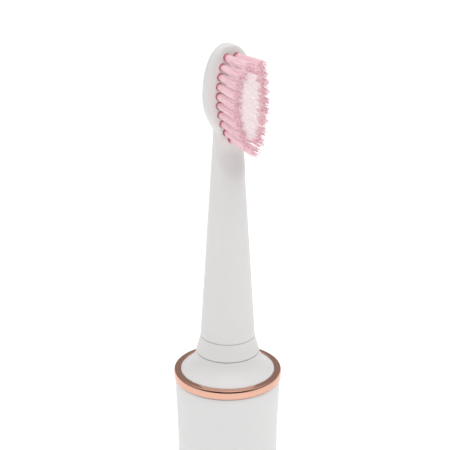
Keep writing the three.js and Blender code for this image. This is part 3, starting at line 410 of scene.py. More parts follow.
def nylon(name, root, middle, end, glow):
    """A filament: its colour runs from root to middle on the attribute 'along', and its cut end is
    deeper. The darker root colour is painted shade, where the filament sits in its hole and meets the
    face. Part of the light passes through. The glow is painted light: what a bundle hands on from
    filament to filament comes back as a faint glow of its own colour, since only a few such steps are
    followed."""
    material, tree, shader, _ = new_material(name)
    along = add(tree, "Attribute", attribute_name="along").outputs["Fac"]
    tone = add(tree, "Attribute", attribute_name="tone").outputs["Fac"]
    # the root stretch of this ramp is painted shade round the hole and the foot of the tuft
    length = ramp(tree, along, [(0.0, root), (0.13, root), (0.21, middle)])
    at_end = between(tree, along, 0.985, 0.996, 0.0, 1.0)
    cut = math(tree, "MULTIPLY", at_end, between(tree, tone, 0.2, 0.9, 0.15, 1.0))
    colour = blended(tree, cut, length, end)
    # the emission is painted light, standing in for the light passed from filament to filament
    put(tree, shader, {
        "Base Color": colour, "Emission Color": colour, "Emission Strength": glow,
        "Roughness": between(tree, tone, 0.0, 1.0, 0.32, 0.5),
    })
    through = add(tree, "BsdfTranslucent", {"Color": colour}).outputs["BSDF"]
    both = add(tree, "MixShader", {0: 0.6, 1: shader.outputs["BSDF"], 2: through}).outputs["Shader"]
    put(tree, tree.nodes["Material Output"], {"Surface": both})
    return material


print("kinds of finish are ready")


# %% [markdown]
# The body and the head are the same white plastic with a satin skin. The head is a shade warmer,
# because nylon-filled and food-safe grades are never as blue-white as the handle's. The ring is
# copper-pink plating over polished metal, smooth enough to show the dark band of the tent as a
# clean line.

# %% The finishes themselves
FINISH = {
    "white_shell": moulded("satin_white", (0.85, 0.85, 0.85), 0.42, grain=7.0, depth=0.002, drift=0.012),
    "neck_plastic": moulded("head_white", (0.85, 0.845, 0.835), 0.45, grain=7.0, depth=0.002, drift=0.012),
    "rose_gold": metal("rose_gold_plate", (0.72, 0.42, 0.32), 0.08, lines=2.0, depth=0.0001, marks=0.03),
    # the first colour of each nylon is its painted root shade, and the last number is its painted glow
    "pink_bristle": nylon("pink_nylon", (0.88, 0.43, 0.51), (1.0, 0.888, 0.912), (0.54, 0.16, 0.26), 0.15),
    "white_bristle": nylon("white_nylon", (1.0, 0.93, 0.95), (1.0, 0.97, 0.975), (0.97, 0.90, 0.92), 0.20),
    "steel": metal("turned_steel", (0.62, 0.63, 0.65), 0.26),
    "dark_plastic": moulded("black_moulding", (0.035, 0.037, 0.04), 0.5, grain=4.0, depth=0.006),
    "board_laminate": laminate("green_board", (0.015, 0.10, 0.05), (0.05, 0.24, 0.11)),
    # the second colour of the winding is painted shade in the gaps between turns
    "copper": coil_wire("copper_winding", (0.72, 0.32, 0.16), (0.12, 0.04, 0.02), 3.0),
    "ferrite": moulded("sintered_ferrite", (0.05, 0.05, 0.053), 0.62, grain=5.0, depth=0.01, drift=0.08),
    "silicone": moulded("grey_silicone", (0.62, 0.61, 0.60), 0.55, grain=5.0, depth=0.003),
    "light_lens": moulded("milky_lens", (0.86, 0.85, 0.83), 0.28, grain=3.0, depth=0.001, Coat_Weight=0.4),
    "cell_can": moulded("cell_sleeve", (0.06, 0.20, 0.42), 0.36, grain=1.0, depth=0.004, Coat_Weight=0.5),
    "foot_rubber": moulded("pale_rubber", (0.55, 0.545, 0.54), 0.75, grain=5.0, depth=0.012),
    "lead_insulation": moulded("lead_sleeve", (0.05, 0.10, 0.30), 0.45, grain=2.0, depth=0.004),
}
slot_of = {part["node"]: part["material_slot"] for part in frame["record"]["subparts"]}
for node, shown in frame["nodes"].items():
    shown.data.materials.clear()
    shown.data.materials.append(FINISH[slot_of[node]])
print(len(FINISH), "finishes on", len(slot_of), "nodes")


# %% [markdown]
# ## Making surfaces
# Each piece is a closed skin put together from patches, and every patch is a grid of points worked
# out as one array. A round piece carries a profile round the axis. A profile is written as its
# corners, each with the radius that the corner is rounded to, since no moulded or turned edge is
# truly sharp. Patches are made to share their border points exactly, so merging doubles closes the
# skin.

# %% Patches
ROUND = 128  # points round the brush's axis


def full_turn(count):
    """Evenly spaced angles round a full turn."""
    return np.arange(count) * 2 * np.pi / count


def around(radius, turn, z):
    """Points (r cos t, r sin t, z), with radius, turn and height spread to one shape."""
    return np.stack(np.broadcast_arrays(radius * np.cos(turn), radius * np.sin(turn), z), -1)


def skin(rows, closed=True):
    """A patch of four-sided faces over rows of points: an array of (rows, columns, 3)."""
    rows = np.asarray(rows, float)
    count, columns = rows.shape[:2]
    first = np.arange(columns if closed else columns - 1)
    after = (first + 1) % columns
    start = np.arange(count - 1)[:, None] * columns
    faces = np.stack([start + first, start + after, start + columns + after, start + columns + first], -1)
    return rows.reshape(-1, 3), faces.reshape(-1, 4).tolist()


def lathe(profile, segments=ROUND):
    """A profile of (radius, height) carried round Z."""
    radius, height = np.asarray(profile, float).T[..., None]
    return skin(around(radius, full_turn(segments), height))


def rounded(corners, steps=5, closed=True):
    """A line through (a, b, radius) corners. Each corner becomes an arc that touches both of its
    sides: centre at radius / sin(half the angle) along the bisector, ends at radius / tan(half the
    angle)."""
    points = np.array([corner[:2] for corner in corners], float)
    line = []
    for i, (here, corner) in enumerate(zip(points, corners)):
        wanted = corner[2] if len(corner) > 2 else 0
        if wanted == 0 or (not closed and i in (0, len(points) - 1)):
            line.append(here[None])
            continue
        before, after = points[i - 1] - here, points[(i + 1) % len(points)] - here
        room = 0.49 * min(np.linalg.norm(before), np.linalg.norm(after))
        before, after = before / np.linalg.norm(before), after / np.linalg.norm(after)
        half = np.arccos(np.clip(before @ after, -1, 1)) / 2
        radius = min(wanted, room * np.tan(half))
        middle = before + after
        centre = here + middle / np.linalg.norm(middle) * radius / np.sin(half)
        start = here + before * radius / np.tan(half) - centre
        end = here + after * radius / np.tan(half) - centre
        first = np.arctan2(start[1], start[0])
        sweep = (np.arctan2(end[1], end[0]) - first + np.pi) % (2 * np.pi) - np.pi
        angle = first + sweep * np.linspace(0, 1, steps + 1)
        line.append(centre + radius * np.stack([np.cos(angle), np.sin(angle)], -1))
    if closed:
        line.append(line[0][:1])
    return np.concatenate(line)


def spun(corners, steps=5, closed=True, segments=ROUND):
    """A round piece from the corners of its profile."""
    return lathe(rounded(corners, steps, closed), segments)


print("helpers for patches are ready")

# %% Pieces
MERGE, SLIVER = 0.0008, 0.0002  # points closer than this are one point, and edges shorter than this go


def add_piece(name, patches, body, stands_for, sharp=35.0, attributes=None):
    """A finished piece: its patches in one mesh, doubles merged, faces outwards, smooth between
    sharp edges. It takes the finish of the first node that it stands for, and moves with that
    node's body."""
    points, faces, start = [], [], 0
    for vertices, corners in patches:
        points.append(vertices)
        faces.extend([[start + i for i in face] for face in corners])
        start += len(vertices)
    mesh = bpy.data.meshes.new(name)
    mesh.from_pydata((np.concatenate(points) * MM).tolist(), [], faces)
    for label, values in (attributes or {}).items():
        mesh.attributes.new(label, "FLOAT", "POINT").data.foreach_set("value", values)
    work = bmesh.new()
    work.from_mesh(mesh)
    bmesh.ops.remove_doubles(work, verts=work.verts, dist=MERGE * MM)
    bmesh.ops.dissolve_degenerate(work, edges=work.edges, dist=SLIVER * MM)
    bmesh.ops.recalc_face_normals(work, faces=work.faces)
    open_edges = sum(len(edge.link_faces) != 2 for edge in work.edges)
    work.to_mesh(mesh)
    work.free()
    mesh.shade_smooth()
    mesh.set_sharp_from_angle(angle=np.radians(sharp))
    slot = slot_of[stands_for[0]]
    mesh.materials.append(FINISH[slot])
    made = bpy.data.objects.new(name, mesh)
    bpy.context.scene.collection.objects.link(made)
    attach(made, body)
    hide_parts(*stands_for)
    print(f"{name}: {len(mesh.polygons)} faces, {open_edges} open edges")


print("add_piece is ready")


# %% [markdown]
# Holes need more care. A round hole in a grid would come out with steps round its edge, so the part
# of the surface that holds holes is laid out flat, the rims of the holes are put in as fixed edges,
# and the space between is filled with triangles that meet those edges (a constrained Delaunay
# triangulation). The flat points are then lifted back onto the curved surface, so the patch bends
# just as the grid round it does.

# %% Patches with holes
def circle(x, y, radius, count=24):
    """Points round a circle in a plane."""
    turn = full_turn(count)
    return np.stack([x + radius * np.cos(turn), y + radius * np.sin(turn)], -1)


def slot_loop(half_length, half_width, count=48):
    """Points round a slot: two half circles of radius half_width, set apart along the first axis."""
    turn = np.concatenate([np.linspace(-0.5, 0.5, count // 2), np.linspace(0.5, 1.5, count // 2)]) * np.pi
    side = np.repeat([1.0, -1.0], count // 2) * (half_length - half_width)
    return np.stack([side + half_width * np.cos(turn), half_width * np.sin(turn)], -1)


def is_inside(points, loop):
    """Which points lie inside a closed loop: a ray from each crosses its edges an odd number of
    times."""
    a, b = loop, np.roll(loop, -1, axis=0)
    x, y = points[:, 0:1], points[:, 1:2]
    crosses = (a[:, 1] > y) != (b[:, 1] > y)
    rise = np.where(b[:, 1] == a[:, 1], 1e-12, b[:, 1] - a[:, 1])
    at = a[:, 0] + (y - a[:, 1]) * (b[:, 0] - a[:, 0]) / rise
    return (crosses & (x < at)).sum(1) % 2 == 1


def edge_loop(grid):
    """The points round the border of a (rows, columns, 2) grid, in order."""
    return np.concatenate([grid[0, :-1], grid[:-1, -1], grid[-1, :0:-1], grid[:0:-1, 0]])


def pierced(outline, inner, holes, lift, clear=0.12):
    """A patch inside an outline with holes left out. inner points nearer to a hole than clear are
    dropped. lift turns the patch's flat points, (n, 2), into points in space, (n, 3)."""
    rims = np.concatenate(holes)
    keep = np.linalg.norm(inner[:, None] - rims[None], axis=2).min(1) > clear
    for hole in holes:
        keep &= ~is_inside(inner, hole)
    flat = [outline, *holes]
    edges, start = [], 0
    for loop in flat:
        count = np.arange(len(loop))
        edges += np.stack([start + count, start + (count + 1) % len(loop)], -1).tolist()
        start += len(loop)
    points = [Vector(p) for p in np.concatenate([*flat, inner[keep]])]
    made = geometry.delaunay_2d_cdt(points, edges, [], 0, 1e-7)
    spots, faces = np.array([tuple(p) for p in made[0]]), np.array([list(face) for face in made[2]])
    middle = spots[faces].mean(1)
    good = is_inside(middle, outline)
    for hole in holes:
        good &= ~is_inside(middle, hole)
    return lift(spots), faces[good].tolist()


def loops_to_skin(*loops):
    """A patch between loops that have the same number of points."""
    return skin(np.stack(loops))


def fill(loop):
    """One flat face over a loop."""
    return loop, [list(range(len(loop)))]


def at_height(loop, height):
    """A flat loop lifted to a height."""
    return np.column_stack([loop, np.full(len(loop), height)])


def pierced_disc(radius, rings, holes, height, count=ROUND, ring_count=48):
    """A flat disc with holes, with rings of points between its rim and its middle."""
    inner = np.concatenate([circle(0, 0, ring, ring_count) for ring in rings])
    return pierced(circle(0, 0, radius, count), inner, holes, lambda spots: at_height(spots, height))


print("helpers for pierced patches are ready")


# %% [markdown]
# ## The brush head
# The neck is round where it meets the collar and tapers all the way up. Near the top its front is
# cut back to a flat face, its back thins, and the outline swells into the oval that carries the
# tufts. One moulding makes all of that, so one formula does: every level section is a superellipse
# whose half widths, depths and squareness change with height.

# %% The sections of the neck and head
NECK_FOOT, HEAD_TIP = (z - RIM for z in span("brush_head_shell"))  # heights on the head are above the rim
NECK_BASE_R, NECK_TOP_R, NECK_TOP = 6.75, 3.46, 62.0
HEAD_CENTRE, HEAD_HALF_WIDTH, HEAD_LOWER_REACH = 70.6, 6.45, 11.7
FACE_Y, BACK_Y = 1.8, 2.5
FACE_RAMP = (50.3, 58.5)


def smoothstep(low, high, value):
    """0 below low, 1 above high, and 3t^2 - 2t^3 between."""
    t = np.clip((value - low) / (high - low), 0, 1)
    return t * t * (3 - 2 * t)


def mix(a, b, t):
    """The value a share t of the way from a to b."""
    return a + (b - a) * t


def head_outline(h):
    """Half width at height h: the neck's straight taper and the head's oval, joined by a small
    fillet. The oval is a superellipse above its widest place and a parabola below it."""
    up = h - HEAD_CENTRE
    reach = np.clip(up / (HEAD_TIP - HEAD_CENTRE), 0, 1)
    above = HEAD_HALF_WIDTH * (1 - reach**2.15) ** (1 / 2.15)
    below = HEAD_HALF_WIDTH * (1 - (up / HEAD_LOWER_REACH) ** 2)
    neck = mix(NECK_BASE_R, NECK_TOP_R, np.clip((h - NECK_FOOT) / (NECK_TOP - NECK_FOOT), 0, 1))
    fillet = 0.5
    joined = (neck + below + np.hypot(neck - below, fillet)) / 2 - fillet**2 / 20
    return np.where(up > 0.001, above, joined), neck


def head_depth(h):
    """Depth of a section to the front and back, and the powers of the two halves of the
    superellipse."""
    _, neck = head_outline(h)
    flat, thin = smoothstep(*FACE_RAMP, h), smoothstep(FACE_RAMP[0], HEAD_CENTRE, h)
    reach = np.clip((h - HEAD_CENTRE) / (HEAD_TIP - HEAD_CENTRE), 0, 1)
    tip = (1 - reach**6) ** (1 / 6)
    front, back = mix(neck, FACE_Y, flat) * tip, mix(neck, BACK_Y, thin) * tip
    return front, back, mix(2, 4.5, flat), mix(2, 2.5, thin)


def head_face(flat):
    """Lifts (x, height) points onto the front of the head: y = -depth (1 - |x / half|^p)^(1/p)."""
    x, h = flat[:, 0], flat[:, 1] - RIM
    half, (front, _, power, _) = head_outline(h)[0], head_depth(h)
    y = -front * (1 - np.clip(np.abs(x / half), 0, 1) ** power) ** (1 / power)
    return np.column_stack([x, y, flat[:, 1]])


def head_rows(h):
    """Level sections at heights h, as (rows, ROUND, 3). A point at polar angle t of the unit
    superellipse is at distance (|cos t|^p + |sin t|^p)^(-1/p), then stretched to the section's half
    width and depth."""
    h = np.asarray(h, float)[:, None]
    turn = full_turn(ROUND)[None]
    half, (front, back, front_power, back_power) = head_outline(h)[0], head_depth(h)
    power = np.where(np.sin(turn) < 0, front_power, back_power)
    depth = np.where(np.sin(turn) < 0, front, back)
    distance = (np.abs(np.cos(turn)) ** power + np.abs(np.sin(turn)) ** power) ** (-1 / power)
    x, y = half * distance * np.cos(turn), depth * distance * np.sin(turn)
    return np.stack([x, y, np.broadcast_to(h + RIM, x.shape)], -1)


print(f"head reaches {HEAD_TIP:.1f} above the rim")


# %% [markdown]
# Tufts stand in an oval of holes. The pink ones follow the edge of the head, evenly spaced along
# it, with one more at the heel, and the white ones fill the inside in two columns. Their trimmed
# ends make a shallow saddle: the tufts at both ends of the head are longer, to reach between back
# teeth.

# %% Where the tufts stand
FIELD_HALF_WIDTH, FIELD_UPPER_REACH, FIELD_LOWER_REACH, FIELD_HEEL = 3.3, 10.3, 11.0, 10.2
FIELD_PITCH = 2.24
TUFT_LENGTH, TUFT_END_RISE = 9.5, 2.2
HOLE_R, HOLE_DEPTH, HOLE_CHAMFER = 0.9, 2.3, 0.04


def outer_tufts():
    """(x, height) of the outer tufts: nine down each side of the oval and one at the heel."""
    up = 9.5 - np.arange(9) * FIELD_PITCH + np.array([0] * 8 + [0.12])
    round_end = FIELD_HALF_WIDTH * np.sqrt(np.clip(1 - (up / FIELD_UPPER_REACH) ** 2, 0, 1))
    taper_end = FIELD_HALF_WIDTH * (1 - (up / FIELD_LOWER_REACH) ** 2)
    side = np.stack([np.where(up > 0, round_end, taper_end), up], -1)
    return np.concatenate([side, side * [-1, 1], [[0, -FIELD_HEEL]]]) + [0, HEAD_CENTRE + RIM]


def inner_tufts():
    """(x, height) of the inner tufts: five rows of two, and one at each end."""
    rows = (np.arange(5) - 2) * 2.2
    pairs = np.stack([np.tile([-1.04, 1.04], 5), np.repeat(rows, 2)], -1)
    return np.concatenate([pairs, [[0, rows[-1] + 2], [0, rows[0] - 2]]]) + [0, HEAD_CENTRE + RIM]


def tuft_reach(height):
    """How far a tuft stands out of the face: longer towards both ends by the cube of the distance."""
    up = height - RIM - HEAD_CENTRE
    reach = np.where(up > 0, FIELD_UPPER_REACH, FIELD_LOWER_REACH)
    return TUFT_LENGTH + TUFT_END_RISE * np.abs(up / reach) ** 3


print(len(outer_tufts()), "outer and", len(inner_tufts()), "inner tufts")


# %% [markdown]
# The shell is the skin over those sections, with a pierced patch on the face and a small chamfered
# cup for every tuft. Below, it is open: the bore takes the coupling that grips the drive shaft.

# %% Head shell
SOCKET_R = 4.6
SOCKET_TOP = span("shaft_coupling")[1] + 0.15
EDGE = 0.06  # the rounding at the foot of the neck


def foot_rows():
    """The rounded edge at the foot of the neck, and the ring of flat plastic inside it."""
    turn = np.linspace(0, np.pi / 2, 5)
    rows = head_rows(NECK_FOOT + EDGE * (1 - np.sin(turn)))
    shrink = EDGE * (1 - np.cos(turn))
    scale = 1 - shrink / NECK_BASE_R
    return rows[::-1] * np.stack([scale, scale, np.ones(5)], -1)[::-1, None]


def tuft_cup(x, height):
    """The hole of one tuft: a chamfer, a straight wall and a flat bottom."""
    mouth = head_face(circle(x, height, HOLE_R + HOLE_CHAMFER))
    shape = circle(x, height, HOLE_R)
    levels = (HOLE_CHAMFER - FACE_Y, HOLE_DEPTH - FACE_Y)
    loops = [np.column_stack([shape[:, 0], np.full(len(shape), y), shape[:, 1]]) for y in levels]
    return [loops_to_skin(mouth, *loops), fill(loops[-1])]


def head_shell():
    """The neck and head in one skin: sections, pierced face, cups, foot and bore."""
    low, high = 59.0, 82.0  # the rows between which the face is pierced
    straight, ramped = np.linspace(NECK_FOOT + EDGE, FACE_RAMP[0], 14), np.linspace(*FACE_RAMP, 16)
    neck = np.concatenate([straight, ramped[1:], [low]])
    below, above = np.linspace(low, HEAD_CENTRE, 24), np.linspace(HEAD_CENTRE, high, 24)
    face = np.concatenate([below, above[1:]])
    reach = HEAD_TIP - HEAD_CENTRE
    first = np.arcsin((high - HEAD_CENTRE) / reach)
    tip = HEAD_CENTRE + reach * np.sin(np.linspace(first, np.pi / 2, 14))
    rows_face = head_rows(face)
    front = slice(ROUND // 2 + 10, ROUND - 9)  # the columns of the pierced patch
    flat = rows_face[:, front][:, :, [0, 2]]
    holes = [circle(x, z, HOLE_R + HOLE_CHAMFER) for x, z in (*outer_tufts(), *inner_tufts())]
    patch = pierced(edge_loop(flat), flat[1:-1, 1:-1].reshape(-1, 2), holes, head_face)
    order = np.r_[front.stop - 1 : ROUND, 0 : front.start + 1]
    bore_edge = circle(0, 0, SOCKET_R, ROUND)
    foot = foot_rows()
    bore = [at_height(bore_edge, z) for z in (NECK_FOOT + RIM, SOCKET_TOP)]
    parts = [
        skin(head_rows(neck)), skin(rows_face[:, order], closed=False), skin(head_rows(tip)), patch,
        skin(foot), loops_to_skin(foot[0], bore[0]), loops_to_skin(*bore), fill(bore[1]),
    ]
    for x, z in (*outer_tufts(), *inner_tufts()):
        parts += tuft_cup(x, z)
    return parts


add_piece("brush_head", head_shell(), "brush_head", ["brush_head_shell"])


# %% [markdown]
# The collar is the cone at the foot of the head. Its fine grooves, above and below, are the gaps to
# its neighbours, and its edges are rounded so that they read as grooves and not as cuts.

# %% Collar
def collar():
    """A ring whose outside runs from the groove under the neck to the groove over the shoulder."""
    low, high = span("head_collar_ring")
    bore, foot, top = 4.95, 7.85, NECK_BASE_R
    waist = (mix(foot, top, 0.47), mix(low, high, 0.45))
    return [spun([
        (bore, low, 0.1), (foot, low, 0.07), (*waist, 6.0), (top + 0.03, high, 0.06), (bore, high, 0.1),
    ], steps=8)]


add_piece("head_collar", collar(), "brush_head", ["head_collar_ring"])


# %% [markdown]
# ## The bristles
# A tuft is some fifty nylon filaments, folded and anchored in its hole. Each is modelled: a
# six-sided tube with a rounded end, which leans out a little, bends slightly, and is trimmed on the
# saddle with a small error. A few stray further. The tubes are worked out together, as one array
# over filaments, rings and sides.

# %% Filaments
FILAMENT_R = 0.088
TUFT_R, FILAMENT_PITCH = 0.70, 0.18
RINGS, SIDES = 7, 6
ROOT_DEPTH = 1.6  # how far below the face a filament starts
STRAY_SHARE = 0.03


def packed_spots(radius, spacing):
    """Places of the filaments in a tuft: a triangular grid cut to a circle."""
    steps = np.arange(-8, 9)
    column, row = np.meshgrid(steps, steps)
    aside, up = (column + (row % 2) / 2) * spacing, row * spacing * np.sqrt(3) / 2
    spots = np.stack([aside, up], -1).reshape(-1, 2)
    return spots[np.hypot(*spots.T) <= radius]


def filaments(places, splay, fan, seed):
    """All filaments of some tufts. A filament's middle line is root + lean * out + bend * out^2,
    where out is the distance in front of the face. Rings of SIDES points stand on it, and the last
    two make its end."""
    rng = np.random.default_rng(seed)
    spots = packed_spots(TUFT_R, FILAMENT_PITCH)
    tufts, strands = len(places), len(spots)
    sideways = np.sign(places[:, None] * [1, 0]) * splay
    lean = sideways + spots[None] * fan + rng.normal(0, 0.009, (tufts, strands, 2))
    stray = rng.random((tufts, strands, 1)) < STRAY_SHARE
    lean = lean + stray * rng.normal(0, 0.06, (tufts, strands, 2))
    bend = rng.normal(0, 0.0012, (tufts, strands, 2))
    root = places[:, None] + spots[None] + rng.normal(0, 0.01, (tufts, strands, 2))
    count = tufts * strands
    root, lean, bend = (a.reshape(count, 1, 2) for a in (root, lean, bend))
    length = tuft_reach(root[:, 0, 1]) + rng.normal(0, 0.09, count)
    share = np.array([0.0, 0.16, 0.4, 0.65, 0.9, 1.0, 1.0])
    out = -ROOT_DEPTH + (length[:, None] + ROOT_DEPTH) * share
    out[:, -2] = length - FILAMENT_R * 0.5
    ahead = np.clip(out, 0, None)[..., None]
    line = root + lean * ahead + bend * ahead**2
    radius = FILAMENT_R * np.array([1, 1, 1, 1, 1, 0.95, 0.45])
    ring = circle(0, 0, 1.0, SIDES) * radius[:, None, None]
    flat = line[:, :, None] + ring[None]
    y = np.broadcast_to((-FACE_Y - out)[:, :, None], flat.shape[:3])
    points = np.stack([flat[..., 0], y, flat[..., 1]], -1).reshape(-1, 3)
    share = (out + ROOT_DEPTH) / (length[:, None] + ROOT_DEPTH)
    along = np.broadcast_to(share[:, :, None], flat.shape[:3])
    tone = np.broadcast_to(rng.random(count)[:, None, None], flat.shape[:3])
    _, one = skin(np.zeros((RINGS, SIDES, 3)))
    sides = (np.arange(count)[:, None, None] * RINGS * SIDES + np.array(one)[None]).reshape(-1, 4)
    ends = np.stack([np.arange(SIDES)[::-1], (RINGS - 1) * SIDES + np.arange(SIDES)])
    caps = (np.arange(count)[:, None, None] * RINGS * SIDES + ends[None]).reshape(-1, SIDES)
    attributes = {"along": along.reshape(-1).copy(), "tone": tone.reshape(-1).copy()}
    return [(points, sides.tolist() + caps.tolist())], attributes


pink, pink_values = filaments(outer_tufts(), splay=0.03, fan=0.068, seed=4)
add_piece("pink_filaments", pink, "brush_head", ["outer_bristles"], sharp=70.0, attributes=pink_values)
white, white_values = filaments(inner_tufts(), splay=0.0, fan=0.07, seed=9)
add_piece("white_filaments", white, "brush_head", ["inner_bristles"], sharp=70.0, attributes=white_values)


# %% [markdown]
# ## The top of the handle
# A polished ring closes the top of the handle tube, and a white shoulder rises out of it in a
# trumpet curve to the flat that the head sits over. The ring's outside is almost straight, its top
# slopes up to the inner edge, and every edge between them is a clean arc: on polished metal the
# arcs are what the eye sees.

# %% Ring, shoulder and seal
RING_R, RING_INNER_R = 13.5, 11.85
RING_FOOT = span("trim_ring")[0]
RING_BEND = 1.3  # radius of the bend in the ring's side
SHOULDER_R, SHOULDER_RISE = 7.95, 5.15
SPIGOT_R, SPIGOT_INNER_R = 10.6, 9.1


def trim_ring():
    """The ring: its side is straight below and bends in above, to the edge of a top that rises a
    little inwards."""
    bend = np.radians(np.linspace(0, 30, 8))
    side = [RING_R - RING_BEND * (1 - np.cos(bend)), RIM - 0.45 + RING_BEND * np.sin(bend)]
    return [spun([
        (RING_INNER_R, RING_FOOT, 0.1), (RING_R, RING_FOOT, 0.3), *np.stack(side, -1),
        (RING_R - 0.22, RIM + 0.26, 0.2), (RING_INNER_R, RIM + RING_CROWN, 0.2),
    ], steps=10, segments=192)]


def shoulder():
    """The trumpet: half way between a straight cone and a quarter turn, over which the radius falls
    with the sine and the height grows with the cosine."""
    top, edge = RIM + SHOULDER_RISE, RING_INNER_R - 0.15
    angle = np.linspace(0, np.pi / 2, 25)
    lip, under, foot = RIM + 0.3, RIM + 1.2, RIM - 12
    bore, seal_room = 4.65, 6.15
    fall = mix(np.cos(angle) ** 0.9, 1 - np.sin(angle), 0.5)
    trumpet = np.stack([edge - (edge - SHOULDER_R) * np.sin(angle), top - (top - lip) * fall], -1)
    inside = [
        (SHOULDER_R, top, 0), (bore, top, 0.12), (bore, under, 0), (seal_room, under, 0),
        (seal_room, RIM - 2, 0), (SPIGOT_INNER_R, RIM - 4, 0), (SPIGOT_INNER_R, foot, 0.2),
        (SPIGOT_R, foot, 0.3), (SPIGOT_R, RING_FOOT, 0), (edge, RING_FOOT, 0.1), (edge, lip, 0),
    ]
    return [lathe(np.concatenate([trumpet[:-1], rounded(inside, closed=False)]))]


def shaft_seal():
    """The soft seal round the shaft: a flange under the shoulder and a lip that stands over it."""
    low, high = span("shaft_seal")
    bore, lip, flange_r = 1.9, 4.5, 6.0
    flange = low + 1.0
    return [spun([
        (bore, low), (flange_r, low, 0.1), (flange_r, flange, 0.1), (lip, flange, 0.1),
        (lip, high - 0.6, 0.35), (3.6, high - 0.3, 0.2), (3.2, high - 0.75, 0.2), (2.75, high, 0.3),
        (bore, high, 0.3),
    ], segments=64)]


add_piece("ring", trim_ring(), "handle", ["trim_ring"])
add_piece("shoulder", shoulder(), "handle", ["shoulder_cap"])
add_piece("seal", shaft_seal(), "handle", ["shaft_seal"])


# %% [markdown]
# The drive shaft only shows when the head is pulled off. It is round below, and has a flat ground
# on its upper end to key the head, so its section is a circle cut by a line.

# %% Drive shaft
SHAFT_R, SHAFT_FLAT, SHAFT_FLAT_LENGTH = 1.75, 0.5, 16.0


def drive_shaft():
    """Radius at angle t is SHAFT_R, or less where the line at SHAFT_R - SHAFT_FLAT cuts the circle."""
    low, high = span("drive_shaft")
    step = high - SHAFT_FLAT_LENGTH
    levels = [low, low, low + 0.2, step, step + 0.01, high - 0.5, high - 0.12, high, high]
    insets = [SHAFT_R, 0.2, 0, 0, 0, 0, 0.35, 0.5, SHAFT_R]
    height, inset = np.array([levels, insets])[..., None]
    turn = full_turn(64)
    towards = np.clip(-np.sin(turn), 1e-3, None)
    reach = np.where(height > step, (SHAFT_R - SHAFT_FLAT) / towards, SHAFT_R)
    return [skin(around(np.minimum(SHAFT_R - inset, reach), turn, height))]


add_piece("shaft", drive_shaft(), "drive", ["drive_shaft"])


# %% [markdown]
# ## The handle
# The housing is one long tube, nearly straight, drawn in at the foot and flared under the ring. Its
# front is pierced for the button and the mode lights, through the whole wall, so both its skins
# have the same holes.

# %% Tubes with holes
HANDLE_R, HANDLE_FOOT_R, FOOT_LENGTH, FLARE, FLARE_LENGTH = 12.6, 12.1, 30.0, 0.5, 20.0
BORE_R = 10.9
HOUSING_LOW, HOUSING_HIGH = span("handle_housing")


def handle_radius(z):
    """Outer radius at a height: a smooth draw-in at the foot and a flare under the ring."""
    foot = smoothstep(HANDLE_FOOT, HANDLE_FOOT + FOOT_LENGTH, z)
    flare = smoothstep(HOUSING_HIGH - FLARE_LENGTH, HOUSING_HIGH, z) ** 1.4
    return mix(HANDLE_FOOT_R, HANDLE_R, foot) + FLARE * flare


def pierced_tube(radius_at, heights, rows, half_width, holes, side):
    """A tube with holes in its front (side -1) or back (side 1): the rows given, and half_width
    columns to both sides of its middle, are taken out and filled with a patch, which is lifted by
    y = side * sqrt(r^2 - x^2)."""
    grid = around(radius_at(heights)[:, None], full_turn(ROUND), heights[:, None])
    middle = ROUND // 2 - side * ROUND // 4
    first, last = middle - half_width, middle + half_width
    flat = grid[rows, first : last + 1][:, :, [0, 2]]

    def lift(spots):
        """Puts (x, z) points back on the tube."""
        y = side * np.sqrt(np.clip(radius_at(spots[:, 1]) ** 2 - spots[:, 0] ** 2, 0, None))
        return np.column_stack([spots[:, 0], y, spots[:, 1]])

    patch = pierced(edge_loop(flat), flat[1:-1, 1:-1].reshape(-1, 2), holes, lift, clear=0.2)
    rest = np.r_[last:ROUND, 0 : first + 1]
    below, above = grid[: rows.start + 1], grid[rows.stop - 1 :]
    return [patch, skin(below), skin(grid[rows][:, rest], closed=False), skin(above)], lift


print(f"the tube runs from {HOUSING_LOW:.1f} to {HOUSING_HIGH:.1f}")

# %% Handle housing
BUTTON_R, BUTTON_Z = span("power_button", 0)[1], sum(span("power_button")) / 2
LENS_R = 0.82
LENS_HEIGHTS = [sum(span(f"mode_lens_{number}")) / 2 for number in range(1, 5)]
BUTTON_GAP, LENS_GAP = 0.25, 0.12


def housing():
    """Both skins of the tube, the rounded ends between them, and the walls of the holes."""
    low, high = LENS_HEIGHTS[-1] - 4, BUTTON_Z + BUTTON_R + 4
    below, along, above = 24, 48, 40  # rows under, along and over the pierced patch
    edge, chamfer = 0.3, 0.12
    heights = np.concatenate([
        np.linspace(HOUSING_LOW + edge, low, below), np.linspace(low, high, along)[1:],
        np.linspace(high, HOUSING_HIGH - edge, above)[1:],
    ])
    patch = (heights, slice(below - 1, below - 1 + along), 14)
    shapes = [(BUTTON_Z, BUTTON_R + BUTTON_GAP, 72), *((z, LENS_R + LENS_GAP, 20) for z in LENS_HEIGHTS)]
    wide = [circle(0, z, r + chamfer, count) for z, r, count in shapes]
    narrow = [circle(0, z, r, count) for z, r, count in shapes]
    outside, lift_out = pierced_tube(handle_radius, *patch, wide, -1)
    inside, lift_in = pierced_tube(lambda z: np.full(np.shape(z), BORE_R), *patch, narrow, -1)
    walls = [
        loops_to_skin(lift_out(a), lift_out(b) + [0, chamfer, 0], lift_in(b)) for a, b in zip(wide, narrow)
    ]
    ends = []
    for z, inwards in ((HOUSING_LOW, edge), (HOUSING_HIGH, -edge)):
        r = float(handle_radius(np.array(z + inwards)))
        arc = np.linspace(0, np.pi / 2, 5)
        profile = np.stack([r - edge * (1 - np.cos(arc)), z + inwards - inwards * np.sin(arc)], -1)
        ends.append(lathe([*profile, (BORE_R, z), (BORE_R, z + inwards)]))
    return [*outside, *inside, *walls, *ends]


add_piece("housing", housing(), "handle", ["handle_housing"])


# %% [markdown]
# The button is a shallow round cap that follows the tube's curve, with a dish for the fingertip and
# a fine ring round the dish. The lights under it are milky pins that end flush with the housing.

